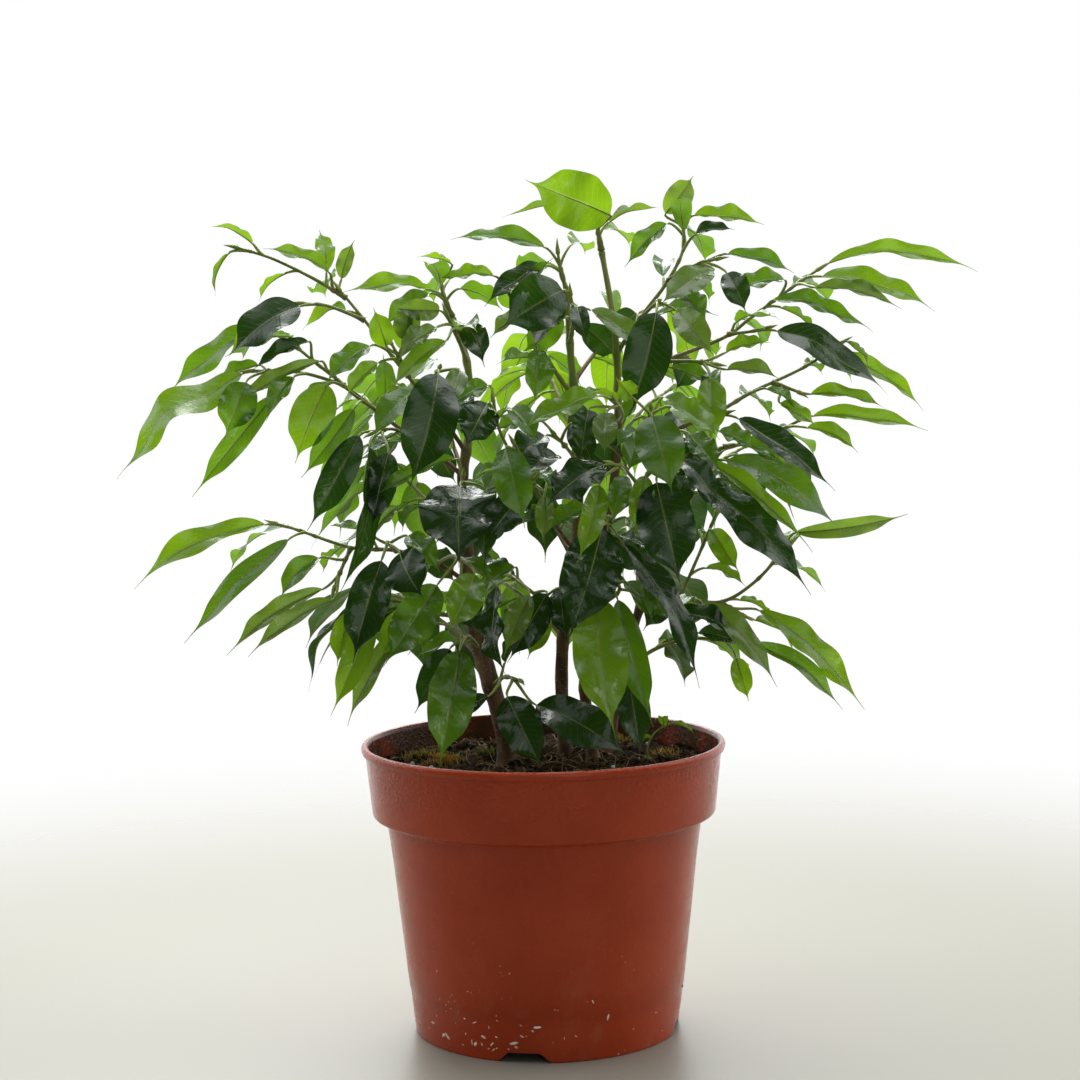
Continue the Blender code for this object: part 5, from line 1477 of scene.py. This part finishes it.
def blade(skin, base, tip, width, facing, tone, look):
    """Adds a blade and returns the points of its midrib, with the way its upper side faces."""
    chord = tip - base
    length = chord.length
    ahead = chord / length
    up = facing - ahead * facing.dot(ahead)
    up = (up if up.length > 0.05 else ahead.orthogonal()).normalized()
    side = ahead.cross(up)
    arch = LEAF_ARCH * random.uniform(0.75, 1.3)
    sway = random.normal(0, 0.022) * length
    twist = random.normal(0, 0.26)
    hook = random.normal(0, 0.05) * length
    shares = (random.uniform(1.6, 3.2), random.uniform(0, math.tau), random.uniform(0, math.tau))
    wave = random.uniform(0.10, 0.30)
    wind = random.normal(0, 0.018) * length
    winding = random.uniform(0.9, 1.6)
    narrowness = max(0.0, min(1.0, (WIDE - width) / (WIDE - NARROW)))
    fold = FOLD_WIDE + (FOLD_NARROW - FOLD_WIDE) * narrowness + random.normal(0, 0.05)
    full = width / 2 / math.cos(fold)
    rows = []
    places = []
    midrib = []
    for i in range(BLADE_ROWS + 1):
        t = i / BLADE_ROWS
        half = max(full * blade_share(t), RIM + DRIP_WIDTH * ease((1 - t) / 0.25))
        tail = max(0.0, t - 0.7) ** 2 / 0.09
        centre = base + chord * t + up * (4 * arch * t * (1 - t) * length)
        centre += side * (sway * math.sin(math.pi * t) + hook * tail * (1 - t) * 2)
        centre += up * (wind * math.sin(math.tau * winding * t) * math.sin(math.pi * t))
        heading = (ahead + up * 4 * arch * (1 - 2 * t)).normalized()
        spin = Quaternion(heading, twist * (t - 0.35))
        out = spin @ side
        lift = spin @ side.cross(heading)
        open_up = fold * (1 - 0.35 * t)
        for j in range(-BLADE_RIBS, BLADE_RIBS + 1):
            v = j / BLADE_RIBS
            reach = abs(v)
            phase = shares[1] if v > 0 else shares[2]
            ripple = wave * math.sin(math.tau * shares[0] * t + phase) * reach**2
            ripple *= math.sin(math.pi * t) ** 0.6
            curl = 0.10 * reach**2
            rise = half * (reach * math.sin(open_up) + ripple - curl)
            rows.append(centre + out * (v * half * math.cos(open_up)) + lift * rise)
            places.append((v, t, tone))
        midrib.append((centre, lift))
    count = 2 * BLADE_RIBS + 1
    skin.rows([rows[k : k + count] for k in range(0, len(rows), count)], places, look)
    return midrib


print("blade: half-width at each tenth", [round(blade_share(i / 10), 2) for i in range(11)])

# %% [markdown]
# ## Leaf finishes
# A blade's upper side is a waxy green with a pale midrib and fine side veins that run out to the margin. Its
# underside is duller and paler. It is thin enough for light to shine through, most of all while it is young,
# so each finish mixes a glossy surface with one that passes light. Four ages differ in colour and thinness,
# and the old one's dark green is darkened further as painted shade.

# %% Leaf finish
VEINS = 15.0
VEIN_SLANT = 2.1


def leaf_finish(name, deep, bright, through, under, thin, ribs):
    """The colours are the upper side's two greens, the green of light shone through, and the underside."""
    look = finish(name)
    side = stored(look, "X")
    across = calc(look, "ABSOLUTE", side)
    run = calc(look, "MULTIPLY", stored(look, "Y"), VEINS)
    rank = calc(look, "SUBTRACT", run, calc(look, "MULTIPLY", across, VEIN_SLANT))
    shifted = calc(look, "MULTIPLY", calc(look, "GREATER_THAN", side, 0.0), 0.5)
    ridge = calc(look, "PINGPONG", calc(look, "ADD", rank, shifted), 0.5)
    inner = between(look, across, 1.0, 0.5, 0.25, 1.0)
    veins = calc(look, "MULTIPLY", between(look, ridge, 0.11, 0.0), inner)
    midrib = between(look, across, 0.085, 0.025)
    lines = calc(look, "MAXIMUM", calc(look, "MULTIPLY", veins, 0.3), calc(look, "MULTIPLY", midrib, 0.8))

    patches = between(look, cloud(look, 55.0, 4), 0.34, 0.66)
    shade = calc(look, "MULTIPLY", stored(look), 0.5)
    color = blend(look, calc(look, "ADD", calc(look, "MULTIPLY", patches, 0.5), shade), deep, bright)
    pale = blend(look, 0.35, bright, (0.30, 0.40, 0.12))
    color = blend(look, calc(look, "MULTIPLY", lines, ribs), color, pale)
    back = node(look, "NewGeometry", {}).outputs["Backfacing"]
    under_color = blend(look, calc(look, "MULTIPLY", lines, 0.5), under, (0.36, 0.42, 0.20))
    color = blend(look, back, color, under_color)

    vein_bump = relief(look, calc(look, "MULTIPLY", lines, -1.0), 0.00006)
    buckles = {"Height": cloud(look, 150.0, 3), "Strength": 1.0, "Distance": 0.0006, "Normal": vein_bump}
    bump = node(look, "Bump", buckles).outputs[0]
    worn = between(look, cloud(look, 90.0, 3), 0.4, 0.7, 0.0, 0.10)
    roughness = calc(look, "ADD", calc(look, "ADD", worn, 0.15), calc(look, "MULTIPLY", back, 0.25))
    glossy = surface(look, color, roughness, bump, 0.45 / (1 - thin))

    glow = blend(look, calc(look, "MULTIPLY", lines, 0.4), through, (0.75, 0.85, 0.25))
    glow = blend(look, calc(look, "MULTIPLY", patches, 0.35), glow, bright)
    passing = node(look, "BsdfTranslucent", {"Color": glow}).outputs[0]
    return paint(look, node(look, "MixShader", {0: thin, 1: glossy, 2: passing}).outputs[0])


# name: two greens, light shone through, underside, thinness, how plain the veins are
LEAF_COLORS = {
    "leaf_young": (
        (0.075, 0.18, 0.004), (0.13, 0.26, 0.008),
        (0.25, 0.46, 0.006), (0.12, 0.22, 0.016), 0.5, 0.25,
    ),
    "leaf_full": (
        (0.016, 0.062, 0.003), (0.04, 0.12, 0.005),
        (0.22, 0.46, 0.01), (0.06, 0.12, 0.02), 0.4, 0.35,
    ),
    # old: its own dark green, darkened further as painted shade
    "leaf_old": (
        (0.003, 0.014, 0.0015), (0.009, 0.034, 0.003),
        (0.06, 0.19, 0.006), (0.036, 0.08, 0.02), 0.2, 0.28,
    ),
    "leaf_pale": (
        (0.05, 0.095, 0.018), (0.09, 0.15, 0.03),
        (0.26, 0.44, 0.03), (0.08, 0.14, 0.03), 0.4, 0.35,
    ),
}
leaf_looks = [leaf_finish(name, *colors) for name, colors in LEAF_COLORS.items()]
print("leaf finishes:", [look.name for look in leaf_looks])

# %% [markdown]
# ## Twigs and leaf stalks
# A twig leaves its stem from a small collar, thins towards its end and has a knuckle under each leaf. A leaf
# stalk bends out of the knuckle and runs on under the blade as its midrib, so blade and stalk read as one
# growth. Each twig ends in the pointed green bud that a fig's next leaf comes out of. Wood and blades are two
# pieces for each branch, and together they stand for the branch's solid.

# %% Twig, stalk and bud shapes
TWIG_SIDES = 10
TWIG_SHOWN = 0.85
STALK_SIDES = 6
STALK_RADIUS = 0.5
MIDRIB_END = 0.04
BUD_LENGTH = 6.5


def twig(skin, path, thick, knuckles, old):
    path = smooth(path, 1.1)
    runs = runs_of(path)
    radii = []
    tones = []
    for run in runs:
        share = run / runs[-1]
        radius = thick + (TWIG_TIP_RADIUS - thick) * share
        radius += 0.5 * math.exp(-((run / 2.0) ** 2))
        radius += sum(0.24 * math.exp(-(((run - knuckle) / 0.9) ** 2)) for knuckle in knuckles)
        radii.append(radius)
        tones.append(old * (1 - share) ** 0.8)
    rod(skin, path, radii, TWIG_SIDES, tones, bark=0.05)
    return path


def bud(skin, path):
    heading = (path[-1] - path[-2]).normalized()
    bend = heading.orthogonal() * random.normal(0, 0.8)
    shape = ((0, 0.5), (0.12, 0.85), (0.35, 0.78), (0.65, 0.45), (0.9, 0.18), (1, 0.04))
    length = BUD_LENGTH * random.uniform(0.7, 1.15)
    points = [path[-1] + heading * length * t + bend * t * t for t, _ in shape]
    rod(skin, points, [radius for _, radius in shape], STALK_SIDES, [0.0] * len(shape), 1)


def stalk(skin, root, heading, base, midrib):
    """From the twig to the blade's base, then under the blade as its midrib."""
    first = midrib[1][0] - midrib[0][0]
    bend = (base - root).length * 0.5
    out = heading * 0.6 + (base - root).normalized()
    inner = root + out.normalized() * bend * 0.7
    outer = base - first.normalized() * bend * 0.6
    points = []
    for i in range(6):
        t = i / 6
        a = root.lerp(inner, t)
        b = inner.lerp(outer, t)
        c = outer.lerp(base, t)
        points.append(a.lerp(b, t).lerp(b.lerp(c, t), t))
    radii = [STALK_RADIUS * (1.25 - 0.35 * i / 5) for i in range(6)]
    last = len(midrib) - 3
    for i in range(0, last, 2):
        centre, lift = midrib[i]
        share = i / last
        radius = STALK_RADIUS * 0.55 * (1 - share) + MIDRIB_END * share
        points.append(centre - lift * radius * 0.75)
        radii.append(radius)
    rod(skin, points, radii, STALK_SIDES, [0.08] * len(points), 1)


print("twigs have", TWIG_SIDES, "sides, stalks and buds", STALK_SIDES)

# %% [markdown]
# Stalks, buds and midribs are a clear yellow-green, a touch glossy.

# %% Stalk finish
fresh = finish("stalks")
fresh_patches = between(fresh, cloud(fresh, 160.0, 3), 0.35, 0.65)
fresh_color = blend(fresh, fresh_patches, (0.22, 0.31, 0.045), (0.36, 0.42, 0.09))
fresh_roughness = between(fresh, fresh_patches, 0, 1, 0.34, 0.46)
paint(fresh, surface(fresh, fresh_color, fresh_roughness, relief(fresh, cloud(fresh, 900.0, 2), 0.00012)))
print("stalk finish:", len(fresh.node_tree.nodes), "nodes")

# %% [markdown]
# ## Small leaves
# Between the leaves that the solids have, a real twig also carries a few small ones that never grew. They are
# left out of the solids because they are thin and light. They stand out from the twig in a spiral.

# %% Small leaves
SMALL_EVERY = 17.0
SMALL_LENGTHS = (13.0, 24.0)
SMALL_SLIMNESS = 0.36
SPIRAL = 2.4  # radians round the twig from one to the next


def small_leaves(path, age):
    """Small leaves for a smoothed path: place on the path, its heading, base, tip, facing and age."""
    runs = runs_of(path)
    angle = random.uniform(0, math.tau)
    run = SMALL_EVERY * random.uniform(0.4, 1.0)
    while run < runs[-1] - 9:
        i = next(k for k, at in enumerate(runs) if at >= run)
        heading = (path[i] - path[i - 1]).normalized()
        out = Quaternion(heading, angle) @ heading.orthogonal().normalized()
        way = (heading * 0.8 + out + UP * 0.25).normalized()
        base = path[i] + way * random.uniform(4, 7)
        drop = (way - UP * random.uniform(0.3, 0.9)).normalized()
        tip = base + drop * random.uniform(*SMALL_LENGTHS)
        facing = UP + way * 0.6 - Vector((0, 1, 0)) * random.uniform(0, 0.8)
        yield path[i], heading, base, tip, facing, age
        angle += SPIRAL
        run += SMALL_EVERY * random.uniform(0.7, 1.3)


print("small leaves: about one every", SMALL_EVERY, "mm of twig")

# %% [markdown]
# Now each branch grows: its twigs with a knuckle under each leaf and a bud at each end, then its blades with
# their stalks, then its small leaves in the age that most of its leaves have.

# %% Grow the branches
TWIG_AGES = {"long": 0.62, "short": 0.38}
LONG = 60.0
small = 0
for name, paths, start, leaves in branches:
    branch_wood = Skin()
    branch_blades = Skin()
    smoothed = []
    for i, path in enumerate(paths):
        knuckles = [run for *_, which, run in leaves if which == i]
        path = [start if i == 0 else path[0], *path[1:]]
        total = runs_of(path)[-1]
        old = TWIG_AGES["long" if total > LONG else "short"]
        thick = TWIG_SHOWN if i == 0 else SIDE_TWIG * TWIG_SHOWN
        smoothed.append(twig(branch_wood, path, thick, knuckles, old))
        bud(branch_wood, smoothed[-1])
    for base, tip, facing, width, leaf_age, which, run in leaves:
        tone = random.uniform(0, 1)
        midrib = blade(branch_blades, base, tip, width, facing, tone, AGES.index(leaf_age))
        path = smoothed[which]
        _, near, i, _, _ = nearest_on(path, along(paths[which], run))
        stalk(branch_wood, near, (path[i + 1] - path[i]).normalized(), base, midrib)
    common = max((leaf[4] for leaf in leaves), key=[leaf[4] for leaf in leaves].count)
    for path in smoothed:
        for near, heading, base, tip, facing, leaf_age in small_leaves(path, common):
            width = (tip - base).length * SMALL_SLIMNESS
            tone = random.uniform(0, 1)
            midrib = blade(branch_blades, base, tip, width, facing, tone, AGES.index(leaf_age))
            stalk(branch_wood, near, heading, base, midrib)
            small += 1
    branch_wood.piece(f"{name}_twigs", [wood, fresh], "bark")
    branch_blades.piece(f"{name}_blades", leaf_looks, "leaf", name)
print("blades:", sum(len(leaves) for *_, leaves in branches), "and", small, "small ones")

# %% [markdown]
# ## A seedling
# A small seedling has come up by itself near the right of the rim: a bent thread of a stem with a few narrow
# leaves.

# %% Seedling
seedling_wood = Skin()
seedling_blades = Skin()
seedling_path = smooth([Vector(p) for p in ((38, -2, 93), (37, -3, 100), (40, -4, 106), (46, -5, 109))], 0.8)
seedling_radii = [0.42 - 0.2 * i / len(seedling_path) for i in range(len(seedling_path))]
rod(seedling_wood, seedling_path, seedling_radii, 8, [0.1] * len(seedling_path), 1)
# base and tip of each leaf
SEEDLING_LEAVES = (
    ((46, -5, 109), (54, -7, 105)),
    ((43, -4.5, 108), (43, -9, 112.5)),
    ((38.5, -3.5, 104), (31, -6, 102)),
)
for base, tip in SEEDLING_LEAVES:
    midrib = blade(seedling_blades, Vector(base), Vector(tip), 3.4, UP, 0.6, 0)
    stalk(seedling_wood, Vector(base) - (Vector(tip) - Vector(base)) * 0.05, UP, Vector(base), midrib)
seedling_wood.piece("seedling_stem", [wood, fresh], "leaf")
seedling_blades.piece("seedling_blades", leaf_looks, "leaf")
print("seedling leaves:", len(SEEDLING_LEAVES))

# %% [markdown]
# ## Sizes
# The finished model has to stay inside the solids' box, apart from a small allowance. The solids' box and
# the box of everything shown are both printed.

# %% Print the sizes
shown_low, shown_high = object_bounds()
sizes = {"cad": [list(cad_low), list(cad_high)], "shown": [list(shown_low), list(shown_high)]}
print("solids' box", [round(v / MM, 1) for v in (*cad_low, *cad_high)])
print("shown box  ", [round(v / MM, 1) for v in (*shown_low, *shown_high)])
